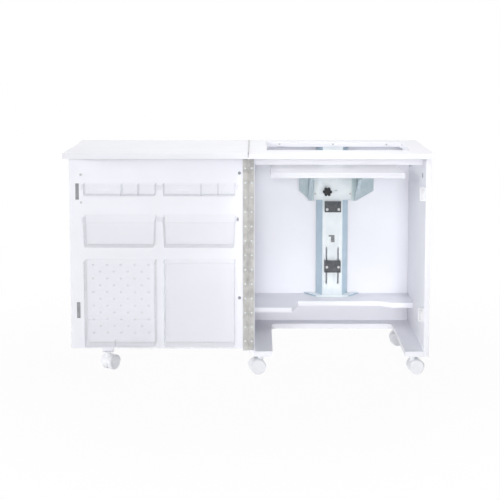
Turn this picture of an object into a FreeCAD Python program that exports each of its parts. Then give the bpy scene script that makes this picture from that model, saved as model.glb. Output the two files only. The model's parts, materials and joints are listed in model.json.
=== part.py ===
"""Fold-out sewing cabinet on casters, shown open: lid to the left, storage door swung round under it.

Frame: millimetres, +Z up, -Y towards the sewer, +X to the right.
The origin is on the floor under the seam between the lid and the base top, midway front to back.
"""
import FreeCAD, Part
import math
import os

os.makedirs("parts", exist_ok=True)
Vec = FreeCAD.Vector

# How far a cutting shape runs past a face, and how close counts as touching
past = 1.0
tiny = 1e-6

# Table top and lid
table_height = 767.0
leaf_width = 623.8
leaf_depth = 500.0
top_thick = 18.0
edge_round = 2.5
opening_left_margin = 62.0
opening_right_margin = 67.8
opening_front_margin = 123.0
opening_rear_margin = 75.0

# Carcass boards
side_thick = 18.0
back_thick = 18.0
shelf_thick = 18.0
foot_thick = 18.0
apron_thick = 18.0
right_overhang = 8.0
back_overhang = 4.0
apron_setback = 103.0
apron_height = 31.0
foot_width = 62.0
foot_corner = 24.0
foot_stile_gap = 1.5
shelf_height = 188.0
shelf_middle_depth = 140.0
shelf_right_depth = 167.0
shelf_left_depth = 243.0
shelf_left_arm = 133.0
shelf_right_arm = 79.0
shelf_left_slope = 27.0
shelf_right_slope = 35.0

# Storage door
door_thick = 18.0
door_recess = 2.0
door_gap = 1.0
door_edge_inset = 1.0
door_floor_gap = 77.0
door_top_gap = 3.0
stile_thick = 18.0
stile_depth = 34.0
cap_radius = 5.0
cap_height = 1.0
cap_edge = 10.0
cap_from_top = 55.0
cap_from_bottom = 179.0
panel_cap_back = 81.0
panel_cap_drop = 67.0

# Piano hinges: one for the door, a finer one along the lid seam
door_leaf_width = 19.0
door_leaf_thick = 1.0
door_knuckle = 2.4
door_pin = 1.2
lid_leaf_width = 15.0
lid_leaf_thick = 0.9
lid_knuckle = 1.8
lid_pin = 0.8
lid_hinge_end = 10.0
leaf_gap = 0.6
knuckle_length = 25.0
knuckle_gap = 0.5
knuckle_clear = 0.6
hinge_end = 3.0
pin_fit = 0.05
screw_pitch = 50.0
screw_head = 3.0
screw_head_depth = 0.9
screw_shank = 1.4
screw_length = 14.0
hole_fit = 0.03

# Magnetic catches and their strike plates
catch_rise = 135.0
catch_drop = 119.0
catch_tall = 45.0
catch_wide = 20.0
catch_deep = 15.0
catch_gap = 0.5
strike_tall = 56.0
strike_wide = 12.0
strike_thick = 0.8

# Door handle
handle_edge = 40.0
handle_drop = 109.0
handle_pitch = 96.0
handle_reach = 28.0
handle_radius = 5.5
handle_post = 5.0
handle_end = 10.0
handle_screw = 2.0
handle_screw_head = 4.0
handle_screw_head_depth = 2.4
handle_screw_bite = 12.0

# Storage bins on the door
bin_wall = 2.0
bin_seat_gap = 0.6
bin_edge_right = 24.0
bin_column_gap = 27.0
bin_strike_gap = 21.0
tray_depth = 55.0
tray_drop = 89.0
tray_height = 39.0
tray_dividers = (127.0, 185.0)
tray_slot_left = 46.0
tray_slot_width = 48.0
tray_slot_height = 9.0
tray_slot_top = 12.0
notion_depth = 75.0
notion_drop = 71.0
notion_front = 88.0
notion_back = 103.0
rim_wide = 4.0
rim_tall = 3.0
lower_rise = 22.0
lower_drop = 52.0
pocket_depth = 75.0
pocket_front = 99.0
pocket_divider = 24.0
pocket_divider_place = 105.0
pocket_slot_width = 80.0
pocket_slot_height = 9.0
pocket_slot_up = 6.0
pocket_slot_right = 15.0
pattern_depth = 75.0
peg_board_thick = 4.0
peg_pitch = 47.6
peg_edge = 20.0
peg_radius = 2.6
peg_length = 34.0
peg_tilt = 12.0
peg_low = 35.0
peg_high = 15.0
clip_width = 8.0
clip_height = 14.0
clip_deep = 12.0
clip_space = 4.0
clip_slot_depth = 10.0
clip_slot_fit = 0.3
clip_from_top = 8.0
ear_thick = 3.0
ear_bite = 6.0

# Machine lift: column, carriage and platform
column_setback = 3.0
column_web = 74.0
column_back = 118.0
column_depth = 36.0
column_sheet = 2.0
base_plate_thick = 5.0
base_plate_back = 204.0
base_plate_front = 119.0
base_plate_lip = 12.0
base_plate_rear_gap = 2.0
base_screw_rear = 85.0
base_screw_front = 46.0
base_screw_inset = 8.0
bracket_width = 56.0
bracket_drop = 42.0
bracket_sheet = 3.0
bracket_reach = 32.0
bracket_screw = 20.0
web_slot_pitch = 43.2
web_slot_width = 5.5
web_slot_below = 68.0
web_slot_above = 70.0
hook_height = 393.0
hook_tall = 26.0
hook_wide = 22.0
hook_body = 13.0
hook_arm = 6.0
hook_across = -3.0
hook_reach = 8.0
hook_sheet = 2.0
hook_lip = 9.0
platform_side_gap = 13.5
platform_thick = 18.0
platform_front_gap = 12.0
platform_rear_gap = 20.0
platform_drop = 81.0
lift_up = 80.0
lift_down = 175.0
carriage_width = 139.0
carriage_height = 114.0
carriage_sheet = 4.0
carriage_gap = 10.0
carriage_drop = 1.0
carriage_rear_gap = 2.0
tongue_width = 50.0
tongue_drop = 46.0
guide_height = 35.0
guide_margin = 5.0
guide_fit = 0.3
carriage_bolt = 2.4
carriage_bolt_edge = 5.0
bolt_head = 4.0
bolt_head_depth = 3.0
index_slot_width = 9.0
index_slot_height = 4.0
index_slot_across = 11.0
index_slot_up = 36.0
bumper_width = 60.0
bumper_height = 40.0
bumper_deep = 12.0
bumper_gap = 5.0
bumper_bolt_up = 11.0
block_bolt = 2.6
block_bolt_head = 5.0
block_bolt_head_depth = 4.0
stop_height = 42.0
stop_rise = 94.0
wing_reach = {"left_wing": 124.0, "right_wing": 150.0}
wing_slope = {"left_wing": 41.0, "right_wing": 63.0}
wing_outer_tall = 81.0
wing_taper = 37.0
gusset_across = 90.0
gusset_sheet = 3.0
gusset_front_gap = 75.0
gusset_tip = 16.0
gusset_lip = 12.0
knob_across = -20.8
knob_up = 31.5
knob_radius = 17.0
knob_lobe = 5.5
knob_lobes = 6
knob_thick = 14.0
knob_stand = 4.0
knob_gap = 0.6
knob_hub = 8.0
knob_stem = 4.0
knob_stem_gap = 2.0

# Gas spring inside the column
spring_back = 22.0
cylinder_radius = 11.0
cylinder_wall = 2.0
cylinder_floor = 4.0
cylinder_cap = 11.0
piston_radius = 8.6
piston_thick = 4.0
rod_radius = 4.0
spring_clear = 1.5
lug_wide = 20.0
lug_front = 10.0
lug_thick = 6.0
lug_rise = 93.5

# Clips that carry the insert round the machine opening
insert_sheet = 1.5
insert_wide = 16.0
insert_tall = 13.0
insert_rear_reach = 11.0
insert_side_reach = 8.0
insert_front_reach = 5.0
insert_rear_corner = 50.0
insert_side_back = 62.0
insert_front_corner = 97.0
insert_above = 3.0

# Twin-wheel casters
caster_height = 67.0
caster_plate = 38.0
caster_plate_thick = 2.5
caster_plate_gap = 0.5
caster_trail = 12.0
wheel_radius = 25.0
wheel_width = 16.5
wheel_edge = 3.0
wheel_side_gap = 0.8
hood_gap = 1.0
hood_wall = 1.5
hood_web = 9.0
hood_web_drop = 12.0
hood_boss = 9.0
stem_radius = 5.0
stem_gap = 0.3
axle_radius = 3.0
front_caster_back = 37.0
front_left_caster_in = 21.0
front_right_caster_in = 34.0
rear_caster_front = 56.0
door_caster_edge = 127.0
caster_screw_inset = 5.5
saddle_thick = 10.0
caster_turn = {
    "front_left": 195.0,
    "front_right": 8.0,
    "rear_left": 160.0,
    "rear_right": 180.0,
    "door": 54.0,
}

# Places worked out from the sizes above
seam_half = leaf_gap / 2 + lid_leaf_thick
front_y = -leaf_depth / 2
rear_y = leaf_depth / 2
top_under = table_height - top_thick
base_right = seam_half + leaf_width
opening_x0 = seam_half + opening_left_margin
opening_x1 = base_right - opening_right_margin
opening_y0 = front_y + opening_front_margin
opening_y1 = rear_y - opening_rear_margin
door_closed_inner = front_y + door_recess + door_thick
door_pin_y = door_closed_inner + stile_depth + door_leaf_thick + leaf_gap / 2
hinge_edge_y = door_pin_y + leaf_gap / 2 + door_leaf_thick
hinge_side_x = door_knuckle + knuckle_clear
left_inner = hinge_side_x + side_thick
right_outer = base_right - right_overhang
right_inner = right_outer - side_thick
right_front = door_closed_inner + door_gap
carcass_rear = rear_y - back_overhang
back_inner = carcass_rear - back_thick
foot_top = caster_height + foot_thick
door_inner = 2 * door_pin_y - door_closed_inner
door_outer = door_inner + door_thick
door_free = -(right_outer - door_edge_inset)
door_top = top_under - door_top_gap
handle_height = door_top - handle_drop
catch_heights = (door_floor_gap + catch_rise, door_top - catch_drop)
tray_bottom = door_top - tray_drop - tray_height
notion_bottom = tray_bottom - notion_drop - notion_back
lower_bottom = door_floor_gap + lower_rise
lower_top = notion_bottom - lower_drop
door_hinge_low = door_floor_gap + hinge_end
door_hinge_length = door_top - hinge_end - door_hinge_low
lid_pin_z = table_height + leaf_gap / 2
lid_hinge_length = leaf_depth - 2 * lid_hinge_end
lift_x = (opening_x0 + opening_x1) / 2
column_y = opening_y1 + column_setback
column_low = shelf_height + base_plate_thick
column_slope = (column_back - column_web) / 2 / column_depth
slope_stretch = math.hypot(1.0, column_slope)
platform_top = table_height - platform_drop
platform_under = platform_top - platform_thick
platform_width = opening_x1 - opening_x0 - 2 * platform_side_gap
platform_rear = opening_y1 - platform_rear_gap
platform_front = opening_y0 + platform_front_gap
carriage_back = column_y - carriage_gap
carriage_front = carriage_back - carriage_sheet
carriage_top = platform_under - carriage_drop
carriage_low = carriage_top - carriage_height
rear_plate_y = column_y + column_depth + carriage_rear_gap
bumper_top = carriage_low - bumper_gap
bumper_low = bumper_top - bumper_height
stop_low = shelf_height + stop_rise
stop_top = stop_low + stop_height
web_slot_low = (stop_low + stop_top) / 2 - web_slot_below
web_slot_high = (stop_low + stop_top) / 2 + web_slot_above
spring_y = column_y + spring_back
bore_low = column_low + cylinder_floor
piston_low = bore_low + spring_clear + lift_down
bore_high = piston_low + piston_thick + lift_up + spring_clear
cylinder_high = bore_high + cylinder_cap
lug_low = carriage_low + lug_rise
strike_x = -(right_inner - catch_wide / 2)
bin_left_x0 = strike_x + strike_wide / 2 + bin_strike_gap
bin_right_x1 = -(hinge_side_x + bin_edge_right + stile_thick)
bin_width = (bin_right_x1 - bin_left_x0 - bin_column_gap) / 2
bin_left_x1 = bin_left_x0 + bin_width
bin_right_x0 = bin_right_x1 - bin_width
bin_back = door_inner - bin_seat_gap


def box(x0, x1, y0, y1, z0, z1):
    """A block between two corners."""
    return Part.makeBox(x1 - x0, y1 - y0, z1 - z0, Vec(x0, y0, z0))


def prism(points, sweep):
    """A closed outline pushed along one direction."""
    return Part.Face(Part.makePolygon(points + points[:1])).extrude(sweep)


def prism_z(outline, z0, z1):
    """An outline of (x, y) corners raised from z0 to z1."""
    return prism([Vec(x, y, z0) for x, y in outline], Vec(0, 0, z1 - z0))


def prism_y(outline, y0, y1):
    """An outline of (x, z) corners carried from y0 to y1."""
    return prism([Vec(x, y0, z) for x, z in outline], Vec(0, y1 - y0, 0))


def prism_x(outline, x0, x1):
    """An outline of (y, z) corners carried from x0 to x1."""
    return prism([Vec(x0, y, z) for y, z in outline], Vec(x1 - x0, 0, 0))


def bar(start, direction, radius, length):
    """A round bar from a point along a direction."""
    return Part.makeCylinder(radius, length, start, direction)


def joined(pieces):
    """Several shapes made into one solid."""
    return pieces[0].multiFuse(pieces[1:]).removeSplitter()


def export(name, pieces):
    """Write one node from a shape, or from a list of separate solids."""
    shape = Part.makeCompound(pieces) if isinstance(pieces, list) else pieces
    shape.exportStep("parts/" + name + ".step")


def spread(length, pitch):
    """Places along a length, at a pitch, centred on it."""
    count = int(length / pitch)
    first = (length - (count - 1) * pitch) / 2
    return [first + index * pitch for index in range(count)]


def screw(point, direction):
    """A countersunk wood screw with its head level with the point."""
    cone = Part.makeCone(screw_head, screw_shank, screw_head_depth, point, direction)
    return joined([cone, bar(point, direction, screw_shank, screw_length)])


def screw_hole(point, direction):
    """The clear space that a countersunk screw needs."""
    wide = screw_head + hole_fit
    narrow = screw_shank + hole_fit
    cone = Part.makeCone(wide, narrow, screw_head_depth, point, direction)
    return joined([cone, bar(point, direction, narrow, screw_length + hole_fit)])


def screws_at(places):
    """Screws for a list of (point, direction) places."""
    return [screw(point, direction) for point, direction in places]


def drilled(shape, places):
    """A shape with its screw holes."""
    return shape.cut([screw_hole(point, direction) for point, direction in places])


def piano_leaf(length, width, thick, knuckle, pin, own, side):
    """One leaf of a piano hinge: pin along +Z, leaf along +X, its board on the side of Y given.

    own is 0 or 1 and says which of the alternate knuckles belong to this leaf.
    """
    bore = pin + pin_fit
    near = leaf_gap / 2 * side
    far = (leaf_gap / 2 + thick) * side
    y0, y1 = min(near, far), max(near, far)
    pieces = [box(knuckle + knuckle_clear / 2, width, y0, y1, 0, length)]
    count = int(length / knuckle_length)
    step = length / count
    for index in range(own, count, 2):
        z0 = index * step + knuckle_gap / 2
        z1 = (index + 1) * step - knuckle_gap / 2
        pieces.append(bar(Vec(0, 0, z0), Vec(0, 0, 1), knuckle, z1 - z0))
        pieces.append(box(0, knuckle + knuckle_clear, y0, y1, z0, z1))
    return joined(pieces).cut(bar(Vec(0, 0, -past), Vec(0, 0, 1), bore, length + 2 * past))


def turned(shape, x_axis, y_axis, origin):
    """A shape moved so that its own X and Y axes point along the given world directions."""
    z_axis = x_axis.cross(y_axis)
    matrix = FreeCAD.Matrix(
        x_axis.x, y_axis.x, z_axis.x, origin.x,
        x_axis.y, y_axis.y, z_axis.y, origin.y,
        x_axis.z, y_axis.z, z_axis.z, origin.z,
        0, 0, 0, 1)
    copy = shape.copy()
    copy.Placement = FreeCAD.Placement(matrix).multiply(copy.Placement)
    return copy


# Screw places, each a point on the surface and the direction that the screw goes in
hinge_screw_x = (door_knuckle + knuckle_clear + door_leaf_width) / 2
door_screw_heights = [door_hinge_low + z for z in spread(door_hinge_length, screw_pitch)]
base_leaf_screws = [(Vec(hinge_screw_x, hinge_edge_y - door_leaf_thick, z), Vec(0, 1, 0))
                    for z in door_screw_heights]
door_leaf_screws = [(Vec(-hinge_screw_x, hinge_edge_y - door_leaf_thick, z), Vec(0, 1, 0))
                    for z in door_screw_heights]
lid_screw_z = lid_pin_z - (lid_knuckle + knuckle_clear + lid_leaf_width) / 2
lid_screw_rows = [front_y + lid_hinge_end + y for y in spread(lid_hinge_length, screw_pitch)]
lid_base_screws = [(Vec(leaf_gap / 2, y, lid_screw_z), Vec(1, 0, 0)) for y in lid_screw_rows]
lid_leaf_screws = [(Vec(-leaf_gap / 2, y, lid_screw_z), Vec(-1, 0, 0)) for y in lid_screw_rows]
base_plate_y0 = column_y - base_plate_lip
base_plate_y1 = back_inner - base_plate_rear_gap
plate_screws = [(Vec(lift_x + side * across, y, column_low), Vec(0, 0, -1))
                for across, y in ((base_screw_rear, base_plate_y1 - base_screw_inset),
                                  (base_screw_front, base_plate_y0 + base_screw_inset))
                for side in (-1, 1)]
bracket_y = column_y + column_sheet
bracket_screws = [(Vec(lift_x + side * bracket_screw, bracket_y + bracket_reach / 2,
                       top_under - bracket_sheet), Vec(0, 0, 1)) for side in (-1, 1)]
insert_z = top_under + insert_above + insert_tall / 2
insert_places = [(Vec(x, opening_y1, insert_z), Vec(0, 1, 0), insert_rear_reach)
                 for x in (opening_x0 + insert_rear_corner, lift_x, opening_x1 - insert_rear_corner)]
insert_places += [(Vec(x, opening_y1 - insert_side_back, insert_z), Vec(side, 0, 0), insert_side_reach)
                  for x, side in ((opening_x0, -1), (opening_x1, 1))]
insert_places += [(Vec(x, opening_y0, insert_z), Vec(0, -1, 0), insert_front_reach)
                  for x in (opening_x0 + insert_front_corner, opening_x1 - insert_front_corner)]
insert_screws = [(point - outward * insert_sheet, outward) for point, outward, reach in insert_places]
caster_places = {
    "front_left": Vec(left_inner + front_left_caster_in, right_front + front_caster_back, 0),
    "front_right": Vec(right_inner - front_right_caster_in, right_front + front_caster_back, 0),
    "rear_left": Vec(left_inner + foot_width / 2, carcass_rear - rear_caster_front, 0),
    "rear_right": Vec(right_inner - foot_width / 2, carcass_rear - rear_caster_front, 0),
    "door": Vec(door_free + door_caster_edge, (door_inner + door_outer) / 2, 0),
}
plate_low = caster_height - caster_plate_thick
screw_corner = caster_plate / 2 - caster_screw_inset
caster_corners = [Vec(i * screw_corner, j * screw_corner, plate_low) for i in (-1, 1) for j in (-1, 1)]
caster_screws = [(caster_places[name] + corner, Vec(0, 0, 1))
                 for name in caster_places if name != "door" for corner in caster_corners]


def rounded_top(board, corners):
    """A table leaf with its upper edges eased and its upright corners left square."""
    upper = [edge for edge in board.Edges
             if all(abs(vertex.Z - table_height) < tiny for vertex in edge.Vertexes)
             and on_outline(edge, corners)]
    return board.makeFillet(edge_round, upper)


def on_outline(edge, corners):
    """Whether an edge lies on the outer outline of a leaf between two corners."""
    x0, x1, y0, y1 = corners
    middle = edge.CenterOfMass
    off_x = min(abs(middle.x - x0), abs(middle.x - x1))
    off_y = min(abs(middle.y - y0), abs(middle.y - y1))
    return min(off_x, off_y) < tiny


def make_table():
    """The base top with its machine opening, and the lid."""
    base_corners = (seam_half, base_right, front_y, rear_y)
    board = box(*base_corners, top_under, table_height)
    board = rounded_top(board, base_corners)
    board = board.cut(box(opening_x0, opening_x1, opening_y0, opening_y1,
                          top_under - past, table_height + past))
    export("base_top", drilled(board, lid_base_screws + bracket_screws + insert_screws))
    lid_corners = (-base_right, -seam_half, front_y, rear_y)
    lid = rounded_top(box(*lid_corners, top_under, table_height), lid_corners)
    export("lid_panel", drilled(lid, lid_leaf_screws))


def make_carcass():
    """Side panels, back, shelf, apron and the U-shaped foot frame."""
    left = box(hinge_side_x, left_inner, hinge_edge_y, carcass_rear, caster_height, top_under)
    export("left_side_panel", drilled(left, base_leaf_screws))
    right = box(right_inner, right_outer, right_front, carcass_rear, caster_height, top_under)
    export("right_side_panel", right)
    export("back_panel", box(left_inner, right_inner, back_inner, carcass_rear, caster_height, top_under))
    apron_y = front_y + apron_setback
    export("front_apron", box(left_inner, right_inner, apron_y, apron_y + apron_thick,
                              top_under - apron_height, top_under))
    middle_y = back_inner - shelf_middle_depth
    left_y = back_inner - shelf_left_depth
    right_y = back_inner - shelf_right_depth
    arm_left = left_inner + shelf_left_arm
    arm_right = right_inner - shelf_right_arm
    outline = [
        (left_inner, back_inner), (left_inner, left_y), (arm_left, left_y),
        (arm_left + shelf_left_slope, middle_y), (arm_right - shelf_right_slope, middle_y),
        (arm_right, right_y), (right_inner, right_y), (right_inner, back_inner)]
    shelf = prism_z(outline, shelf_height - shelf_thick, shelf_height)
    export("bottom_shelf", drilled(shelf, plate_screws))
    export("foot_frame", drilled(foot_frame(), caster_screws))


def foot_frame():
    """The U-shaped foot: two arms front to back and a rear bar, with rounded inner corners."""
    inner_left = left_inner + foot_width
    inner_right = right_inner - foot_width
    inner_rear = back_inner - foot_width
    arms = [
        box(left_inner, inner_left, hinge_edge_y, back_inner, caster_height, foot_top),
        box(left_inner + foot_stile_gap, inner_left, right_front, hinge_edge_y, caster_height, foot_top),
        box(inner_right, right_inner, right_front, back_inner, caster_height, foot_top),
        box(left_inner, right_inner, inner_rear, back_inner, caster_height, foot_top)]
    for x, side in ((inner_left, 1), (inner_right, -1)):
        x0, x1 = sorted((x, x + side * foot_corner))
        corner = box(x0, x1, inner_rear - foot_corner, inner_rear, caster_height, foot_top)
        centre = Vec(x + side * foot_corner, inner_rear - foot_corner, caster_height)
        arms.append(corner.cut(bar(centre, Vec(0, 0, 1), foot_corner, foot_thick)))
    return joined(arms)


def make_door():
    """The flat storage door with the stile that carries its piano hinge."""
    panel = box(door_free, -hinge_side_x, door_inner, door_outer, door_floor_gap, door_top)
    for z in handle_screw_heights():
        start = Vec(handle_x(), door_inner - past, z)
        panel = panel.cut(bar(start, Vec(0, 1, 0), handle_screw + hole_fit, door_thick + 2 * past))
    export("door_panel", panel)
    stile = box(-hinge_side_x - stile_thick, -hinge_side_x, hinge_edge_y, door_inner,
                door_floor_gap, door_top)
    export("hinge_stile", drilled(stile, door_leaf_screws))


def handle_x():
    """How far along the door the handle stands."""
    return door_free + handle_edge


def handle_screw_heights():
    """The heights of the two handle screws."""
    return [handle_height - handle_pitch / 2, handle_height + handle_pitch / 2]


def make_handle():
    """A bar handle on the outer face, held by two screws from the inner face."""
    reach_y = door_outer + handle_reach
    low = handle_height - handle_pitch / 2 - handle_end
    grip_length = handle_pitch + 2 * handle_end
    pieces = [bar(Vec(handle_x(), reach_y, low), Vec(0, 0, 1), handle_radius, grip_length)]
    for z in handle_screw_heights():
        pieces.append(bar(Vec(handle_x(), door_outer, z), Vec(0, 1, 0), handle_post, handle_reach))
    handle = joined(pieces)
    screws = []
    length = door_thick + handle_screw_bite
    for z in handle_screw_heights():
        start = Vec(handle_x(), door_inner, z)
        handle = handle.cut(bar(start, Vec(0, 1, 0), handle_screw + hole_fit, length + hole_fit))
        head = bar(start, Vec(0, -1, 0), handle_screw_head, handle_screw_head_depth)
        screws.append(joined([head, bar(start, Vec(0, 1, 0), handle_screw, length)]))
    export("door_handle", handle)
    cap_x = -(hinge_side_x + stile_thick + cap_edge)
    caps = [bar(Vec(cap_x, door_inner, z), Vec(0, -1, 0), cap_radius, cap_height)
            for z in (door_top - cap_from_top, door_floor_gap + cap_from_bottom)]
    export("door_screws", screws_at(door_leaf_screws) + screws + caps)


def make_door_hinge():
    """The piano hinge between the left side panel and the door stile."""
    origin = Vec(0, door_pin_y, door_hinge_low)
    sizes = (door_hinge_length, door_leaf_width, door_leaf_thick, door_knuckle, door_pin)
    fixed = turned(piano_leaf(*sizes, 0, 1), Vec(1, 0, 0), Vec(0, 1, 0), origin)
    export("door_hinge_base_leaf", drilled(fixed, base_leaf_screws))
    far_end = origin + Vec(0, 0, door_hinge_length)
    count = int(door_hinge_length / knuckle_length)
    swung = turned(piano_leaf(*sizes, count % 2, 1), Vec(-1, 0, 0), Vec(0, 1, 0), far_end)
    export("door_hinge_door_leaf", drilled(swung, door_leaf_screws))
    return bar(origin, Vec(0, 0, 1), door_pin, door_hinge_length)


def make_lid_hinge():
    """The fine piano hinge sunk in the seam between the base top and the lid."""
    sizes = (lid_hinge_length, lid_leaf_width, lid_leaf_thick, lid_knuckle, lid_pin)
    down = Vec(0, 0, -1)
    start = Vec(0, rear_y - lid_hinge_end, lid_pin_z)
    fixed = turned(piano_leaf(*sizes, 0, 1), down, Vec(1, 0, 0), start)
    export("lid_hinge_base_leaf", drilled(fixed, lid_base_screws))
    swung = turned(piano_leaf(*sizes, 1, -1), down, Vec(1, 0, 0), start)
    export("lid_hinge_lid_leaf", drilled(swung, lid_leaf_screws))
    export("lid_hinge_lid_screws", screws_at(lid_leaf_screws))
    return bar(start, Vec(0, -1, 0), lid_pin, lid_hinge_length)


def make_catches():
    """Magnetic catches inside the right panel, and their strike plates on the door."""
    catches = []
    strikes = []
    for z in catch_heights:
        front = right_front + catch_gap
        catches.append(box(right_inner - catch_wide, right_inner, front, front + catch_deep,
                           z - catch_tall / 2, z + catch_tall / 2))
        strikes.append(box(strike_x - strike_wide / 2, strike_x + strike_wide / 2,
                           door_inner - strike_thick, door_inner, z - strike_tall / 2, z + strike_tall / 2))
    export("magnetic_catches", catches)
    export("strike_plates", strikes)


def bin_shell(x0, depth, z0, front_height, back_height):
    """An open bin whose side walls slope from the front rim up to the back."""
    front = bin_back - depth
    outline = [(bin_back, z0), (bin_back, z0 + back_height), (front, z0 + front_height), (front, z0)]
    outer = prism_x(outline, x0, x0 + bin_width)
    high = z0 + max(front_height, back_height) + past
    return outer.cut(box(x0 + bin_wall, x0 + bin_width - bin_wall, front + bin_wall,
                         bin_back - bin_wall, z0 + bin_wall, high))


def ears(x0, clip_top):
    """The two end tabs that hang a bin in its clips."""
    reach = clip_space + ear_bite
    y1 = bin_back - bin_wall
    z0 = clip_top - clip_slot_depth + clip_slot_fit
    return [box(x0 - reach, x0, y1 - ear_thick, y1, z0, clip_top),
            box(x0 + bin_width, x0 + bin_width + reach, y1 - ear_thick, y1, z0, clip_top)]


def make_bins():
    """Two thread trays and two notion bins, each hung from clips on the door."""
    tray_clip = tray_bottom + tray_height - clip_from_top
    notion_clip = notion_bottom + notion_back - clip_from_top
    for side, x0 in (("left", bin_left_x0), ("right", bin_right_x0)):
        shell = bin_shell(x0, tray_depth, tray_bottom, tray_height, tray_height)
        walls = [box(x0 + place, x0 + place + bin_wall, bin_back - tray_depth, bin_back,
                     tray_bottom, tray_bottom + tray_height) for place in tray_dividers]
        tray = joined([shell] + walls + ears(x0, tray_clip))
        slot_top = tray_bottom + tray_height - tray_slot_top
        slot = box(x0 + tray_slot_left, x0 + tray_slot_left + tray_slot_width,
                   bin_back - tray_depth - past, bin_back - tray_depth + bin_wall + past,
                   slot_top - tray_slot_height, slot_top)
        export("thread_tray_" + side, tray.cut(slot))
        shell = bin_shell(x0, notion_depth, notion_bottom, notion_front, notion_back)
        front = bin_back - notion_depth
        rim_top = notion_bottom + notion_front
        rim = box(x0, x0 + bin_width, front + bin_wall - rim_wide, front + bin_wall,
                  rim_top - rim_tall, rim_top)
        export("notion_bin_" + side, joined([shell, rim] + ears(x0, notion_clip)))
    clips = []
    for top in (tray_clip, notion_clip):
        for x0 in (bin_left_x0, bin_right_x0):
            clips.append(clip(x0 - clip_space - clip_width, top))
            clips.append(clip(x0 + bin_width + clip_space, top))
    export("bin_clips", clips)


def clip(x0, top):
    """One clip on the door face, slotted from above for a bin's end tab."""
    y1 = door_inner
    block = box(x0, x0 + clip_width, y1 - clip_deep, y1, top - clip_height, top)
    tab_y1 = bin_back - bin_wall + clip_slot_fit
    tab_y0 = bin_back - bin_wall - ear_thick - clip_slot_fit
    return block.cut(box(x0 - past, x0 + clip_width + past, tab_y0, tab_y1,
                         top - clip_slot_depth, top + past))


def make_lower_storage():
    """The thread peg board with its pocket, and the tall pattern bin beside it."""
    x0 = bin_left_x0
    x1 = bin_left_x1
    face = door_inner - peg_board_thick
    board = box(x0, x1, face, door_inner, lower_bottom, lower_top)
    export("peg_board", board)
    tilt = math.radians(peg_tilt)
    direction = Vec(0, -math.cos(tilt), math.sin(tilt))
    foot = box(x0, x1, face, door_inner, door_floor_gap, door_top)
    pegs = []
    middle = (x0 + x1) / 2
    peg_columns = 1 + int((bin_width - 2 * (bin_wall + peg_edge)) / peg_pitch)
    peg_rows = 1 + int((lower_top - lower_bottom - peg_low - peg_high) / (peg_pitch / 2))
    for row in range(peg_rows):
        in_row = peg_columns - row % 2
        z = lower_bottom + peg_low + row * peg_pitch / 2
        for column in range(in_row):
            x = middle + (column - (in_row - 1) / 2) * peg_pitch
            pegs.append(bar(Vec(x, face + peg_radius, z), direction, peg_radius, peg_length).cut(foot))
    export("thread_pegs", pegs)
    front = face - pocket_depth
    outer = box(x0, x1, front, face, lower_bottom, lower_top)
    pocket = outer.cut([
        box(x0 + bin_wall, x1 - bin_wall, front + bin_wall, face + past, lower_bottom + bin_wall,
            lower_top + past),
        box(x0 + bin_wall, x1 - bin_wall, front - past, face + past, lower_bottom + pocket_front,
            lower_top + past)])
    divider_x = x0 + pocket_divider_place
    divider = box(divider_x, divider_x + bin_wall, front, front + pocket_depth / 2, lower_bottom,
                  lower_bottom + pocket_divider)
    slot_x1 = x1 - pocket_slot_right
    slot_z0 = lower_bottom + pocket_slot_up
    slot = box(slot_x1 - pocket_slot_width, slot_x1, front - past, front + bin_wall + past,
               slot_z0, slot_z0 + pocket_slot_height)
    export("thread_pocket", joined([pocket, divider]).cut(slot))
    pattern_front = door_inner - pattern_depth
    shell = box(bin_right_x0, bin_right_x1, pattern_front, door_inner, lower_bottom, lower_top)
    inside = box(bin_right_x0 + bin_wall, bin_right_x1 - bin_wall, pattern_front + bin_wall,
                 door_inner - bin_wall, lower_bottom + bin_wall, lower_top + past)
    export("pattern_bin", shell.cut(inside))


def column_half(y):
    """Half the outside width of the lift column at a depth."""
    return column_web / 2 + column_slope * (y - column_y)


def taper(front_half, front, rear_half, rear):
    """A plan outline centred on the lift, with one half width in front and another behind."""
    return [(lift_x - front_half, front), (lift_x + front_half, front),
            (lift_x + rear_half, rear), (lift_x - rear_half, rear)]


def make_column():
    """The folded steel lift column, its foot plate, top bracket and catch hook."""
    rear = column_y + column_depth
    outer = prism_z(taper(column_half(column_y), column_y, column_half(rear), rear),
                    column_low, top_under)
    inset = column_sheet * slope_stretch
    web_inside = column_y + column_sheet
    open_back = rear + past
    inner = prism_z(taper(column_half(web_inside) - inset, web_inside,
                          column_half(open_back) - inset, open_back),
                    column_low - past, top_under + past)
    column = outer.cut(inner)
    for side in (-1, 1):
        x = lift_x + side * web_slot_pitch / 2
        column = column.cut(web_slot(x))
    export("lift_column", column)
    plate = prism_z(taper(base_plate_front / 2, base_plate_y0, base_plate_back / 2, base_plate_y1),
                    shelf_height, column_low)
    export("column_base_plate", drilled(plate, plate_screws))
    x0 = lift_x - bracket_width / 2
    x1 = lift_x + bracket_width / 2
    upright = box(x0, x1, bracket_y, bracket_y + bracket_sheet, top_under - bracket_drop, top_under)
    flat = box(x0, x1, bracket_y, bracket_y + bracket_reach, top_under - bracket_sheet, top_under)
    export("column_top_bracket", drilled(joined([upright, flat]), bracket_screws))
    face = column_y - hook_sheet
    hook_x1 = lift_x + hook_across + hook_wide / 2
    body_x0 = hook_x1 - hook_body
    hook_top = hook_height + hook_tall
    tip = column_y - hook_reach
    hook = joined([
        box(body_x0, hook_x1, face, column_y, hook_height, hook_top),
        box(hook_x1 - hook_wide, hook_x1, face, column_y, hook_top - hook_arm, hook_top),
        box(body_x0, hook_x1, tip, column_y, hook_height, hook_height + hook_sheet),
        box(body_x0, hook_x1, tip, tip + hook_sheet, hook_height, hook_height + hook_lip)])
    export("catch_hook", hook)


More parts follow.
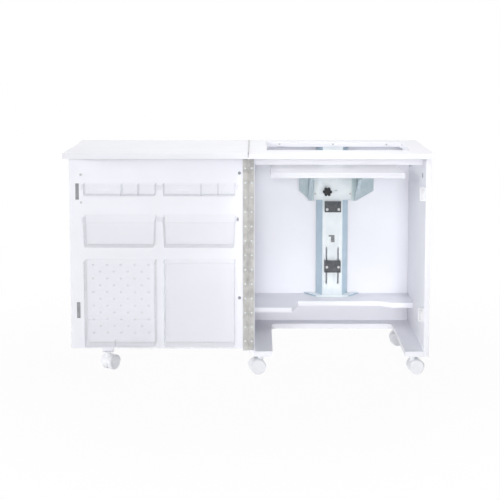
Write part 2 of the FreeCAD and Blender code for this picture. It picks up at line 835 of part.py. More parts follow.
def web_slot(x):
    """One upright slot through the column's web, round at both ends."""
    radius = web_slot_width / 2
    deep = column_sheet + 2 * past
    y0 = column_y - past
    pieces = [box(x - radius, x + radius, y0, y0 + deep, web_slot_low + radius, web_slot_high - radius)]
    for z in (web_slot_low + radius, web_slot_high - radius):
        pieces.append(bar(Vec(x, y0, z), Vec(0, 1, 0), radius, deep))
    return joined(pieces)


def bolt(x, y, z, shank, grip, with_nut):
    """A bolt pushed in along +Y, with its head in front of y and a nut behind its grip."""
    pieces = [bar(Vec(x, y, z), Vec(0, -1, 0), block_bolt_head, block_bolt_head_depth)]
    pieces.append(bar(Vec(x, y, z), Vec(0, 1, 0), shank, grip))
    if with_nut:
        pieces.append(bar(Vec(x, y + grip, z), Vec(0, 1, 0), block_bolt_head, block_bolt_head_depth))
    return joined(pieces)


def make_stop():
    """The stop block that is bolted through the column's slots."""
    front = carriage_front - bumper_deep
    block = box(lift_x - bumper_width / 2, lift_x + bumper_width / 2, front, column_y, stop_low, stop_top)
    bolts = []
    middle = (stop_low + stop_top) / 2
    grip = column_y + column_sheet - front
    for side in (-1, 1):
        x = lift_x + side * web_slot_pitch / 2
        start = Vec(x, front - past, middle)
        block = block.cut(bar(start, Vec(0, 1, 0), block_bolt + hole_fit, grip + 2 * past))
        bolts.append(bolt(x, front, middle, block_bolt, grip, True))
    export("stop_block", block)
    export("stop_block_bolts", bolts)


def carriage_bolt_places():
    """Where the four bolts run through the carriage: (x, z)."""
    across = carriage_width / 2 - carriage_bolt_edge
    low = carriage_low + guide_margin + guide_height / 2
    high = carriage_top - guide_margin - guide_height / 2
    return [(lift_x + side * across, z) for side in (-1, 1) for z in (low, high)]


def make_carriage():
    """The sliding carriage: front plate, rear plate, nylon guides, bolts and the bumper block."""
    half = carriage_width / 2
    front = box(lift_x - half, lift_x + half, carriage_front, carriage_back, carriage_low, carriage_top)
    tongue = box(lift_x - tongue_width / 2, lift_x + tongue_width / 2, carriage_front, carriage_back,
                 carriage_low - tongue_drop, carriage_low)
    plate = joined([front, tongue])
    rear_y1 = rear_plate_y + carriage_sheet
    rear = box(lift_x - half, lift_x + half, rear_plate_y, rear_y1, carriage_low, carriage_top)
    lug = box(lift_x - lug_wide / 2, lift_x + lug_wide / 2, spring_y - lug_front, rear_plate_y,
              lug_low, lug_low + lug_thick)
    rear = joined([rear, lug]).cut(bar(Vec(lift_x, spring_y, lug_low - past), Vec(0, 0, 1),
                                       rod_radius + hole_fit, lug_thick + 2 * past))
    guides = []
    fit = guide_fit * slope_stretch
    for side in (-1, 1):
        outline = [(lift_x + side * (column_half(carriage_back) + fit), carriage_back),
                   (lift_x + side * half, carriage_back),
                   (lift_x + side * half, rear_plate_y),
                   (lift_x + side * (column_half(rear_plate_y) + fit), rear_plate_y)]
        for z0 in (carriage_low + guide_margin, carriage_top - guide_margin - guide_height):
            guides.append(prism_z(outline, z0, z0 + guide_height))
    bolts = []
    grip = rear_y1 - carriage_front
    for x, z in carriage_bolt_places():
        start = Vec(x, carriage_front - past, z)
        hole = bar(start, Vec(0, 1, 0), carriage_bolt + hole_fit, grip + 2 * past)
        plate = plate.cut(hole)
        rear = rear.cut(hole)
        guides = [guide.cut(hole) for guide in guides]
        bolts.append(joined([
            bar(Vec(x, carriage_front, z), Vec(0, -1, 0), bolt_head, bolt_head_depth),
            bar(Vec(x, carriage_front, z), Vec(0, 1, 0), carriage_bolt, grip),
            bar(Vec(x, rear_y1, z), Vec(0, 1, 0), bolt_head, bolt_head_depth)]))
    block_front = carriage_front - bumper_deep
    block = box(lift_x - bumper_width / 2, lift_x + bumper_width / 2, block_front, carriage_front,
                bumper_low, bumper_top)
    bolt_z = bumper_low + bumper_bolt_up
    for side in (-1, 1):
        x = lift_x + side * web_slot_pitch / 2
        hole = bar(Vec(x, block_front - past, bolt_z), Vec(0, 1, 0), block_bolt + hole_fit,
                   bumper_deep + carriage_sheet + 2 * past)
        block = block.cut(hole)
        plate = plate.cut(hole)
        bolts.append(bolt(x, block_front, bolt_z, block_bolt, bumper_deep + carriage_sheet, False))
    knob_start = Vec(lift_x + knob_across, carriage_front - past, carriage_low + knob_up)
    knob_hole = bar(knob_start, Vec(0, 1, 0), knob_stem + pin_fit, carriage_sheet + 2 * past)
    slot_x = lift_x + index_slot_across
    slot_z = carriage_low + index_slot_up
    index_slot = box(slot_x - index_slot_width / 2, slot_x + index_slot_width / 2,
                     carriage_front - past, carriage_back + past,
                     slot_z - index_slot_height / 2, slot_z + index_slot_height / 2)
    export("carriage_plate", plate.cut([knob_hole, index_slot]))
    export("carriage_rear_plate", rear)
    export("guide_blocks", guides)
    export("carriage_bolts", bolts)
    export("bumper_block", block)


def make_platform():
    """The machine platform and the two steel wings that carry it."""
    x0 = lift_x - platform_width / 2
    export("lift_platform", box(x0, x0 + platform_width, platform_front, platform_rear,
                                platform_under, platform_top))
    for name, side in (("left_wing", -1), ("right_wing", 1)):
        inner = lift_x + side * carriage_width / 2
        outer = lift_x + side * wing_reach[name]
        elbow = lift_x + side * (wing_reach[name] - wing_slope[name])
        low = platform_under - wing_outer_tall
        sheet = prism_y([(inner, platform_under), (outer, platform_under), (outer, low),
                         (elbow, low - wing_taper), (inner, low - wing_taper)],
                        carriage_front, carriage_back)
        gusset_x = lift_x + side * gusset_across
        tip = platform_front + gusset_front_gap
        gusset = prism_x([(carriage_front, platform_under), (tip, platform_under),
                          (tip, platform_under - gusset_tip),
                          (carriage_front, low - wing_taper)],
                         gusset_x - gusset_sheet / 2, gusset_x + gusset_sheet / 2)
        x_low, x_high = sorted((gusset_x - side * gusset_sheet / 2, outer))
        flange = box(x_low, x_high, tip, carriage_back, platform_under - gusset_sheet, platform_under)
        edge = [(carriage_front, low - wing_taper), (tip, platform_under - gusset_tip)]
        raised = [(y, z + gusset_sheet) for y, z in reversed(edge)]
        lip_low, lip_high = sorted((gusset_x + side * gusset_sheet / 2, gusset_x - side * gusset_lip))
        lip = prism_x(edge + raised, lip_low, lip_high)
        export(name, joined([sheet, gusset, flange, lip]))


def make_knob():
    """The black star knob that clamps the carriage to the column."""
    centre = Vec(lift_x + knob_across, 0, carriage_low + knob_up)
    back = carriage_front - knob_stand
    front = back - knob_thick
    ring = knob_radius - knob_lobe
    pieces = [bar(centre + Vec(0, front, 0), Vec(0, 1, 0), ring, knob_thick)]
    for lobe in range(knob_lobes):
        angle = 2 * math.pi * lobe / knob_lobes
        offset = Vec(ring * math.cos(angle), front, ring * math.sin(angle))
        pieces.append(bar(centre + offset, Vec(0, 1, 0), knob_lobe, knob_thick))
    pieces.append(bar(centre + Vec(0, back, 0), Vec(0, 1, 0), knob_hub, knob_stand - knob_gap))
    stem_end = column_y - knob_stem_gap
    pieces.append(bar(centre + Vec(0, back, 0), Vec(0, 1, 0), knob_stem, stem_end - back))
    export("lock_knob", joined(pieces))


def make_spring():
    """The gas spring: a cylinder on the foot plate, and a piston rod held by the carriage."""
    up = Vec(0, 0, 1)
    foot = Vec(lift_x, spring_y, 0)
    tube = bar(foot + up * column_low, up, cylinder_radius, cylinder_high - column_low)
    bore_radius = cylinder_radius - cylinder_wall
    tube = tube.cut(bar(foot + up * bore_low, up, bore_radius, bore_high - bore_low))
    tube = tube.cut(bar(foot + up * (bore_high - past), up, rod_radius + pin_fit, cylinder_cap + 2 * past))
    export("gas_spring_cylinder", tube)
    rod = bar(foot + up * piston_low, up, rod_radius, lug_low + lug_thick - piston_low)
    piston = bar(foot + up * piston_low, up, piston_radius, piston_thick)
    export("gas_spring_rod", joined([rod, piston]))


def make_insert_clips():
    """Small angle clips round the machine opening that carry its insert."""
    clips = []
    for point, outward, reach in insert_places:
        along = Vec(abs(outward.y), abs(outward.x), 0)
        upright = slab(point, outward * -insert_sheet, along, -insert_tall / 2, insert_tall / 2)
        foot = slab(point, outward * -reach, along, -insert_tall / 2, insert_sheet - insert_tall / 2)
        clips.append(joined([upright, foot]))
    solids = [drilled(one, insert_screws) for one in clips]
    export("insert_clips", solids)


def slab(point, depth, along, low, high):
    """A flat piece standing on an opening's edge, as deep as given and one clip wide."""
    ends = [point - along * (insert_wide / 2), point + along * (insert_wide / 2) + depth]
    xs = sorted(end.x for end in ends)
    ys = sorted(end.y for end in ends)
    return box(xs[0], xs[1], ys[0], ys[1], point.z + low, point.z + high)


def caster_hood():
    """A caster's hood, with its swivel stem on the Z axis and its axle behind it along +X."""
    axle = Vec(caster_trail, 0, wheel_radius)
    along = Vec(0, 1, 0)
    half = hood_web / 2 + wheel_side_gap + wheel_width
    outer = wheel_radius + hood_gap + hood_wall
    hood_top = plate_low - caster_plate_gap
    shell = bar(axle - along * half, along, outer, 2 * half)
    boss = bar(Vec(0, 0, wheel_radius), Vec(0, 0, 1), hood_boss, hood_top - wheel_radius)
    reach = caster_trail + outer + past
    lowest = wheel_radius - outer - past
    lower_half = box(-reach, reach, -half - past, half + past, lowest, wheel_radius)
    shell = joined([shell, boss]).cut(lower_half)
    for side in (-1, 1):
        cavity = bar(axle + along * (side * hood_web / 2), along * side, wheel_radius + hood_gap, half)
        shell = shell.cut(cavity)
    web = bar(axle - along * (hood_web / 2), along, wheel_radius + hood_gap, hood_web)
    web = web.cut(box(-reach, reach, -half, half, lowest, wheel_radius - hood_web_drop))
    stem_length = caster_height - stem_gap - hood_top
    stem = bar(Vec(0, 0, hood_top - past), Vec(0, 0, 1), stem_radius, stem_length + past)
    bore = bar(axle - along * half, along, axle_radius + pin_fit, 2 * half)
    return joined([shell, web, stem]).cut(bore)


def caster_wheels():
    """A caster's two wheels on their axle, as three solids in the hood's own frame."""
    axle = Vec(caster_trail, 0, wheel_radius)
    along = Vec(0, 1, 0)
    inner = hood_web / 2 + wheel_side_gap
    outer = inner + wheel_width
    bore = bar(axle - along * (outer + past), along, axle_radius + hole_fit, 2 * (outer + past))
    solids = []
    for side in (-1, 1):
        wheel = bar(axle + along * (side * inner), along * side, wheel_radius, wheel_width)
        rims = [edge for edge in wheel.Edges if len(edge.Vertexes) == 1]
        solids.append(wheel.makeFillet(wheel_edge, rims).cut(bore))
    reach = outer - wheel_edge
    solids.append(bar(axle - along * reach, along, axle_radius, 2 * reach))
    return solids


def stood(shape, name):
    """A caster piece turned and moved to its place under the cabinet or the door."""
    copy = shape.copy()
    copy.rotate(Vec(0, 0, 0), Vec(0, 0, 1), caster_turn[name])
    copy.translate(caster_places[name])
    return copy


def caster_top_plate(name):
    """The square plate that a caster swivels in."""
    place = caster_places[name]
    half = caster_plate / 2
    plate = box(place.x - half, place.x + half, place.y - half, place.y + half, plate_low, caster_height)
    return plate.cut(bar(place + Vec(0, 0, plate_low - past), Vec(0, 0, 1), stem_radius + pin_fit,
                         caster_plate_thick + 2 * past))


def make_casters():
    """Five twin-wheel casters: four under the foot frame and one under the door."""
    hood = caster_hood()
    wheels = caster_wheels()
    for name in caster_places:
        export(name + "_caster_hood", stood(hood, name))
        export(name + "_caster_wheels", [stood(wheel, name) for wheel in wheels])
    plates = [drilled(caster_top_plate(name), caster_screws) for name in caster_places if name != "door"]
    export("caster_plates", plates)
    place = caster_places["door"]
    half = caster_plate / 2
    block = box(place.x - half, place.x + half, place.y - saddle_thick / 2, place.y + saddle_thick / 2,
                caster_height, door_floor_gap)
    export("door_caster_saddle", joined([caster_top_plate("door"), block]))


make_table()
make_carcass()
make_door()
make_handle()
door_pin_rod = make_door_hinge()
lid_pin_rod = make_lid_hinge()
export("hinge_pins", [door_pin_rod, lid_pin_rod])
make_catches()
make_bins()
make_lower_storage()
make_column()
make_stop()
make_carriage()
make_platform()
make_knob()
make_spring()
make_insert_clips()
make_casters()
base_screw_places = base_leaf_screws + lid_base_screws + plate_screws + bracket_screws
base_screw_places += insert_screws + caster_screws
panel_cap_place = Vec(right_inner, right_front + panel_cap_back, top_under - panel_cap_drop)
panel_cap = bar(panel_cap_place, Vec(-1, 0, 0), cap_radius, cap_height)
export("base_screws", screws_at(base_screw_places) + [panel_cap])
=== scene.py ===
"""Fold-out sewing cabinet: eased boards, clear bins, lift hardware, casters, finishes, light and camera."""
import json
import logging
import math
from dataclasses import dataclass
from enum import Enum
from functools import cache, partial
from typing import Callable, Optional, Sequence

import bpy
from mathutils import Euler, Matrix, Vector


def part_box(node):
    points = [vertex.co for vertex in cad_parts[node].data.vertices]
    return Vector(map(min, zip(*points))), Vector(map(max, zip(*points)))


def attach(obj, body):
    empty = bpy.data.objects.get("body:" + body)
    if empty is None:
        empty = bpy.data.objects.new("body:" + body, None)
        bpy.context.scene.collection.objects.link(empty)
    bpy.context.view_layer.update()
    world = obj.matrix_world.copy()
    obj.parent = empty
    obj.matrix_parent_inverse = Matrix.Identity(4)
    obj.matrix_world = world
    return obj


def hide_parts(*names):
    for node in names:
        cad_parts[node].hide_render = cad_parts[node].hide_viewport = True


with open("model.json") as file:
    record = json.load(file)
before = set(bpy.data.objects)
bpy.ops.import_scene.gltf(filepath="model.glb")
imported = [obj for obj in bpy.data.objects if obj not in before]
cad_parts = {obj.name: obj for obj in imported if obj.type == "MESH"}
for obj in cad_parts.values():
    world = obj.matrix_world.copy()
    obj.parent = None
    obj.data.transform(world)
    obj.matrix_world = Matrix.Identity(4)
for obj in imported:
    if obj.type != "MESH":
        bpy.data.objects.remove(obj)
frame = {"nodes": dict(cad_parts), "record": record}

LOG = logging.getLogger("sewing_cabinet")
MM = 0.001
TOUCH = 0.1 * MM  # places closer than this are one place
MERGE = 0.01 * MM  # vertices closer than this become one
FLAT = math.radians(0.5)  # faces that turn less than this become one
ALONG = 0.9  # a direction with more than this share of an axis runs along it
ACROSS = 0.5  # with less than this share it runs across it
LEVEL = 0.1  # with less than this share it is square to it
X_AXIS = Vector((1, 0, 0))
Y_AXIS = Vector((0, 1, 0))
Z_AXIS = Vector((0, 0, 1))

Node = bpy.types.Node
Tree = bpy.types.NodeTree
Material = bpy.types.Material
Test = Callable[[Vector, Vector], bool]
Step = Callable[[], object]
Point = Sequence[float]
Colour = tuple[float, float, float]


class Element(Enum):
    """Which kind of mesh element a step selects."""

    VERT = "VERT"
    EDGE = "EDGE"
    FACE = "FACE"


class Combine(Enum):
    """How one solid is combined with another."""

    ADD = "UNION"
    CUT = "DIFFERENCE"


class LampKind(Enum):
    """The kinds of lamp in the studio."""

    FAR = "SUN"
    CONE = "SPOT"
    PANEL = "AREA"


def facing(way: Vector) -> Test:
    """A test that passes the faces that point a given way."""
    return lambda middle, normal: normal.dot(way) > ALONG


def running(axis: Vector) -> Test:
    """A test that passes the edges that run along an axis."""
    return lambda middle, line: abs(line.dot(axis)) > ALONG


def everything(middle: Vector, way: Vector) -> bool:
    """A test that passes every element."""
    return True


def inset(margin: float) -> Step:
    """The step that draws the picked faces in by a margin."""
    return partial(bpy.ops.mesh.inset, thickness=margin, use_even_offset=True)


def extrude(step: Point) -> Step:
    """The step that pulls the picked faces out."""
    return partial(bpy.ops.mesh.extrude_region_move, TRANSFORM_OT_translate={"value": step})


@dataclass
class Solid:
    """A piece on the bench, with the modelling steps that every piece shares."""

    obj: bpy.types.Object

    @staticmethod
    def focus(obj: Optional[bpy.types.Object] = None) -> None:
        """Leave edit mode and make one object, or none, the only one selected.

        Args:
            obj: the object to select.
        """
        if bpy.context.mode != "OBJECT":
            bpy.ops.object.mode_set(mode="OBJECT")
        bpy.ops.object.select_all(action="DESELECT")
        if obj is not None:
            obj.select_set(True)
            bpy.context.view_layer.objects.active = obj

    @classmethod
    def settle(cls, name: str) -> "Solid":
        """Name the object just added and put its place into its mesh.

        Args:
            name: the piece's name.

        Returns:
            The piece, at the origin, unturned and unscaled.
        """
        obj = bpy.context.active_object
        obj.name = name
        bpy.ops.object.transform_apply(location=True, rotation=True, scale=True)
        return cls(obj)

    @classmethod
    def block(cls, name: str, low: Point, high: Point) -> "Solid":
        """Add a block.

        Args:
            name: the piece's name.
            low: its lowest corner, in metres.
            high: its highest corner.

        Returns:
            The block.
        """
        low, high = Vector(low), Vector(high)
        cls.focus()
        bpy.ops.mesh.primitive_cube_add(size=1.0, location=(low + high) / 2)
        bpy.context.active_object.scale = high - low
        return cls.settle(name)

    @classmethod
    def rod(cls, name: str, start: Vector, end: Vector, radius: float, sides: int) -> "Solid":
        """Add a round bar.

        Args:
            name: the piece's name.
            start: the middle of one end.
            end: the middle of the other end.
            radius: the bar's radius.
            sides: how many flats stand for its round.

        Returns:
            The bar.
        """
        cls.focus()
        along = end - start
        bpy.ops.mesh.primitive_cylinder_add(
            vertices=sides, radius=radius, depth=along.length, location=(start + end) / 2)
        obj = bpy.context.active_object
        obj.rotation_mode = "QUATERNION"
        obj.rotation_quaternion = Z_AXIS.rotation_difference(along)
        return cls.settle(name)

    @classmethod
    def eased_copy(cls, node: str, width: float, segments: int = 2) -> "Solid":
        """Copy a model node, merge its faces and round its sharp edges.

        Args:
            node: the model node.
            width: how far the rounding reaches from each edge.
            segments: how many faces make up the rounding.

        Returns:
            The copy.
        """
        source = frame["nodes"][node]
        mesh = source.data.copy()
        mesh.transform(source.matrix_world)
        obj = bpy.data.objects.new(node + "_eased", mesh)
        bpy.context.scene.collection.objects.link(obj)
        merge = partial(bpy.ops.mesh.remove_doubles, threshold=MERGE)
        flatten = partial(bpy.ops.mesh.dissolve_limited, angle_limit=FLAT)
        return cls(obj).edit(Element.VERT, everything, merge, flatten).ease(width, segments)

    @classmethod
    def join(cls, pieces: Sequence["Solid"], name: str = "") -> "Solid":
        """Make several pieces into one.

        Args:
            pieces: the pieces; the first one takes in the others.
            name: the new name, if it isn't the first piece's own.

        Returns:
            The joined piece.
        """
        first = pieces[0].obj
        cls.focus(first)
        for piece in pieces:
            piece.obj.select_set(True)
        bpy.ops.object.join()
        first.name = name or first.name
        return pieces[0]

    def edit(self, kind: Element, test: Test, *steps: Step) -> "Solid":
        """Carry out steps in edit mode on the elements that pass a test.

        Args:
            kind: vertices, edges or faces.
            test: told an element's middle and its direction, a normal or an edge's line.
            steps: what is done, in order.

        Returns:
            The piece itself, so that steps can follow each other.
        """
        self.focus(self.obj)
        bpy.ops.object.mode_set(mode="EDIT")
        bpy.ops.mesh.select_mode(type=kind.value)
        bpy.ops.mesh.select_all(action="DESELECT")
        bpy.ops.object.mode_set(mode="OBJECT")
        mesh = self.obj.data
        if kind is Element.FACE:
            for face in mesh.polygons:
                face.select = test(face.center, face.normal)
        elif kind is Element.EDGE:
            for edge in mesh.edges:
                first, last = (mesh.vertices[index].co for index in edge.vertices)
                edge.select = test((first + last) / 2, (last - first).normalized())
        else:
            for vert in mesh.vertices:
                vert.select = test(vert.co, vert.normal)
        bpy.ops.object.mode_set(mode="EDIT")
        for step in steps:
            step()
        bpy.ops.object.mode_set(mode="OBJECT")
        return self

    def bevel(self, test: Test, width: float, segments: int) -> "Solid":
        """Round the edges that pass a test."""
        return self.edit(Element.EDGE, test, partial(bpy.ops.mesh.bevel, offset=width, segments=segments,
                                                     affect="EDGES", clamp_overlap=True))

    def slide(self, test: Test, step: Point) -> "Solid":
        """Move the vertices that pass a test."""
        return self.edit(Element.VERT, test, partial(bpy.ops.transform.translate, value=step))

    def pull(self, test: Test, step: Point) -> "Solid":
        """Extrude the faces that pass a test."""
        return self.edit(Element.FACE, test, extrude(step))

    def recess(self, test: Test, margin: float, step: Point) -> "Solid":
        """Inset the faces that pass a test, then push or pull what is left."""
        return self.edit(Element.FACE, test, inset(margin), extrude(step))

    def hollow(self, wall: float, floor: float, top: Test) -> "Solid":
        """Open the solid from above: its top is inset by a wall and sunk to a flat floor."""
        flatten = partial(bpy.ops.transform.resize, value=(1, 1, 0), center_override=(0, 0, floor))
        return self.edit(Element.FACE, top, inset(wall), extrude((0, 0, -wall)), flatten)

    def modifier(self, kind: str, **settings: object) -> "Solid":
        """Add a modifier and apply it.

        Args:
            kind: the modifier's type.
            settings: its settings, by name.

        Returns:
            The piece itself.
        """
        self.focus(self.obj)
        added = self.obj.modifiers.new(kind.lower(), kind)
        for key, value in settings.items():
            setattr(added, key, value)
        bpy.ops.object.modifier_apply(modifier=added.name)
        return self

    def ease(self, width: float, segments: int = 2, angle: float = 35.0) -> "Solid":
        """Round every edge that is sharper than an angle in degrees."""
        return self.modifier("BEVEL", width=width, segments=segments, limit_method="ANGLE",
                             angle_limit=math.radians(angle), use_clamp_overlap=True)

    def combine(self, tool: "Solid", how: Combine) -> None:
        """Add a tool to the solid, or cut it out, and remove the tool."""
        self.modifier("BOOLEAN", operation=how.value, object=tool.obj, solver="EXACT")
        bpy.data.objects.remove(tool.obj)

    def copy(self, place: Matrix) -> "Solid":
        """Copy the piece, with a mesh of its own.

        Args:
            place: where the copy goes.

        Returns:
            The copy.
        """
        twin = bpy.data.objects.new(self.obj.name, self.obj.data.copy())
        bpy.context.scene.collection.objects.link(twin)
        twin.data.transform(place)
        return Solid(twin)

    def repeat(self, name: str, places: Sequence[Point]) -> "Solid":
        """Put a joined copy at several places instead of the piece.

        Args:
            name: the name of the set.
            places: where the copies go.

        Returns:
            The set.
        """
        copies = [self.copy(Matrix.Translation(place)) for place in places]
        bpy.data.objects.remove(self.obj)
        return self.join(copies, name)


@dataclass
class Nodes:
    """Adds and links the nodes of one shader tree."""

    tree: Tree

    def add(self, kind: str, values: Optional[dict[str | int, object]] = None, **settings: object) -> Node:
        """Add a node.

        Args:
            kind: the shader node's type.
            values: what its inputs hold, by name or number.
            settings: its other settings, made first.

        Returns:
            The node.
        """
        node = self.tree.nodes.new("ShaderNode" + kind)
        for key, value in settings.items():
            setattr(node, key, value)
        for socket, value in (values or {}).items():
            node.inputs[socket].default_value = value
        return node

    def link(self, *links: tuple[Node, str, Node, str | int]) -> None:
        """Join outputs of nodes to inputs of others, each given by its name or number."""
        for start, output, end, entry in links:
            self.tree.links.new(start.outputs[output], end.inputs[entry])


class Effects:
    """Surface effects that several finishes share, each built once as a node group."""

    @staticmethod
    def group(name: str, inputs: dict[str, str], outputs: dict[str, str]) -> tuple[Nodes, Node, Node]:
        """Start a node group.

        Args:
            name: the group's name.
            inputs: the type of each input, by its name.
            outputs: the type of each output, by its name.

        Returns:
            The group's node helper, and its input and output nodes.
        """
        nodes = Nodes(bpy.data.node_groups.new(name, "ShaderNodeTree"))
        for way, sockets in (("INPUT", inputs), ("OUTPUT", outputs)):
            for label, kind in sockets.items():
                nodes.tree.interface.new_socket(label, in_out=way, socket_type="NodeSocket" + kind)
        start, end = (nodes.tree.nodes.new("NodeGroup" + way) for way in ("Input", "Output"))
        return nodes, start, end

    @staticmethod
    @cache
    def mottle() -> Tree:
        """Slow patches between two colours, and a fine height over them.

        Returns:
            The node group.
        """
        nodes, start, end = Effects.group(
            "mottle", {"Low": "Color", "High": "Color", "Patches": "Float", "Fine": "Float"},
            {"Color": "Color", "Height": "Float"})
        place = nodes.add("TexCoord")
        slow = nodes.add("TexNoise", {"Detail": 3.0})
        fine = nodes.add("TexNoise", {"Detail": 2.0})
        spread = nodes.add("MapRange", {"From Min": 0.35, "From Max": 0.65})
        blend = nodes.add("Mix", data_type="RGBA")
        nodes.link((place, "Object", slow, "Vector"), (place, "Object", fine, "Vector"),
                   (start, "Patches", slow, "Scale"), (start, "Fine", fine, "Scale"),
                   (slow, "Fac", spread, "Value"), (spread, "Result", blend, "Factor"),
                   (start, "Low", blend, "A"), (start, "High", blend, "B"),
                   (blend, "Result", end, "Color"), (fine, "Fac", end, "Height"))
        return nodes.tree

    @staticmethod
    @cache
    def grain() -> Tree:
        """A stretched grain, as on rolled or brushed metal.

        Returns:
            The node group.
        """
        nodes, start, end = Effects.group("grain", {"Stretch": "Vector"}, {"Mask": "Float"})
        place = nodes.add("TexCoord")
        pulled = nodes.add("VectorMath", operation="MULTIPLY")
        lines = nodes.add("TexNoise", {"Scale": 1.0, "Detail": 4.0})
        spread = nodes.add("MapRange", {"From Min": 0.3, "From Max": 0.7})
        nodes.link((place, "Object", pulled, 0), (start, "Stretch", pulled, 1),
                   (pulled, "Vector", lines, "Vector"), (lines, "Fac", spread, "Value"),
                   (spread, "Result", end, "Mask"))
        return nodes.tree

    @staticmethod
    @cache
    def handling() -> Tree:
        """Faint handling marks: a roughness that wanders between two values.

        Returns:
            The node group.
        """
        nodes, start, end = Effects.group(
            "handling", {"Clean": "Float", "Handled": "Float", "Size": "Float"}, {"Roughness": "Float"})
        place = nodes.add("TexCoord")
        marks = nodes.add("TexNoise", {"Detail": 6.0, "Roughness": 0.65})
        spread = nodes.add("MapRange", {"From Min": 0.3, "From Max": 0.75})
        nodes.link((place, "Object", marks, "Vector"), (start, "Size", marks, "Scale"),
                   (marks, "Fac", spread, "Value"), (start, "Clean", spread, "To Min"),
                   (start, "Handled", spread, "To Max"), (spread, "Result", end, "Roughness"))
        return nodes.tree


@dataclass(frozen=True)
class Finish:
    """A surface finish: two close colours, a gloss that wanders and a fine relief."""

    name: str
    low: Colour
    high: Colour
    patches: float = 5.0
    fine: float = 900.0
    clean: float = 0.32
    handled: float = 0.42
    marks: float = 14.0
    relief: float = 0.04
    relief_depth: float = 0.2 * MM
    metal: float = 0.0

    def start(self) -> tuple[Material, Nodes, Node, Node]:
        """Make the material with its mottle, handling marks and relief joined up.

        Returns:
            The material, its node helper, its shader and its mottle group.
        """
        material = bpy.data.materials.new(self.name)
        material.use_nodes = True
        nodes = Nodes(material.node_tree)
        shader = material.node_tree.nodes["Principled BSDF"]
        shader.inputs["Metallic"].default_value = self.metal
        mottle = nodes.add("Group", {
            "Low": (*self.low, 1.0), "High": (*self.high, 1.0), "Patches": self.patches, "Fine": self.fine},
            node_tree=Effects.mottle())
        marks = nodes.add("Group", {
            "Clean": self.clean, "Handled": self.handled, "Size": self.marks}, node_tree=Effects.handling())
        relief = nodes.add("Bump", {"Strength": self.relief, "Distance": self.relief_depth})
        nodes.link((mottle, "Color", shader, "Base Color"), (marks, "Roughness", shader, "Roughness"),
                   (mottle, "Height", relief, "Height"), (relief, "Normal", shader, "Normal"))
        return material, nodes, shader, mottle

    def material(self) -> Material:
        """The finished material."""
        return self.start()[0]


@dataclass(frozen=True)
class GrainedSteel(Finish):
    """Sheet steel with a rolled grain, pulled out along one direction."""

    stretch: Colour = (900.0, 900.0, 30.0)
    grain_low: float = 0.88

    def material(self) -> Material:
        """Make the material, with the grain darkening the colour a little.

        Returns:
            The finished material.
        """
        material, nodes, shader, mottle = self.start()
        grain = nodes.add("Group", {"Stretch": self.stretch}, node_tree=Effects.grain())
        shade = nodes.add("MapRange", {"To Min": self.grain_low})
        tint = nodes.add("Mix", {"Factor": 1.0}, data_type="RGBA", blend_type="MULTIPLY")
        nodes.link((grain, "Mask", shade, "Value"), (mottle, "Color", tint, "A"),
                   (shade, "Result", tint, "B"), (tint, "Result", shader, "Base Color"))
        return material


@dataclass(frozen=True)
class ClearPlastic(Finish):
    """See-through moulded plastic, denser where it is seen edge on."""

    face_on: float = 0.012
    edge_on: float = 0.55
    falloff: float = 3.0
    blend: float = 0.35

    def material(self) -> Material:
        """Make the material, with its alpha from the angle it is seen at.

        Returns:
            The finished material.
        """
        material, nodes, shader, _ = self.start()
        angle = nodes.add("LayerWeight", {"Blend": self.blend})
        steep = nodes.add("Math", {1: self.falloff}, operation="POWER")
        density = nodes.add("MapRange", {"To Min": self.face_on, "To Max": self.edge_on})
        nodes.link((angle, "Facing", steep, 0), (steep, "Value", density, "Value"),
                   (density, "Result", shader, "Alpha"))
        return material


@dataclass(frozen=True)
class ShadedFlankZinc(GrainedSteel):
    """Bright zinc plate with painted shade on its folded flanks: the faces marked on the mesh are darkened
    to a deeper blue grey, standing in for the dimmer light that falls on them.
    """

    # painted shade: the colour that the marked flanks are multiplied by, for the dimmer light on them
    flank: Colour = (0.62, 0.73, 0.80)

    def material(self) -> Material:
        """Make the material, with painted shade on the marked flanks.

        Returns:
            The finished material.
        """
        material = super().material()
        nodes = Nodes(material.node_tree)
        shader = material.node_tree.nodes["Principled BSDF"]
        plain = shader.inputs["Base Color"].links[0].from_node
        # painted shade: the mesh mark multiplies the plain colour down on the flanks
        flank_shade_mask = nodes.add("Attribute", attribute_name="flank")
        tint = nodes.add("Mix", {"B": (*self.flank, 1.0)}, data_type="RGBA", blend_type="MULTIPLY")
        nodes.link((flank_shade_mask, "Fac", tint, "Factor"), (plain, "Result", tint, "A"),
                   (tint, "Result", shader, "Base Color"))
        return material


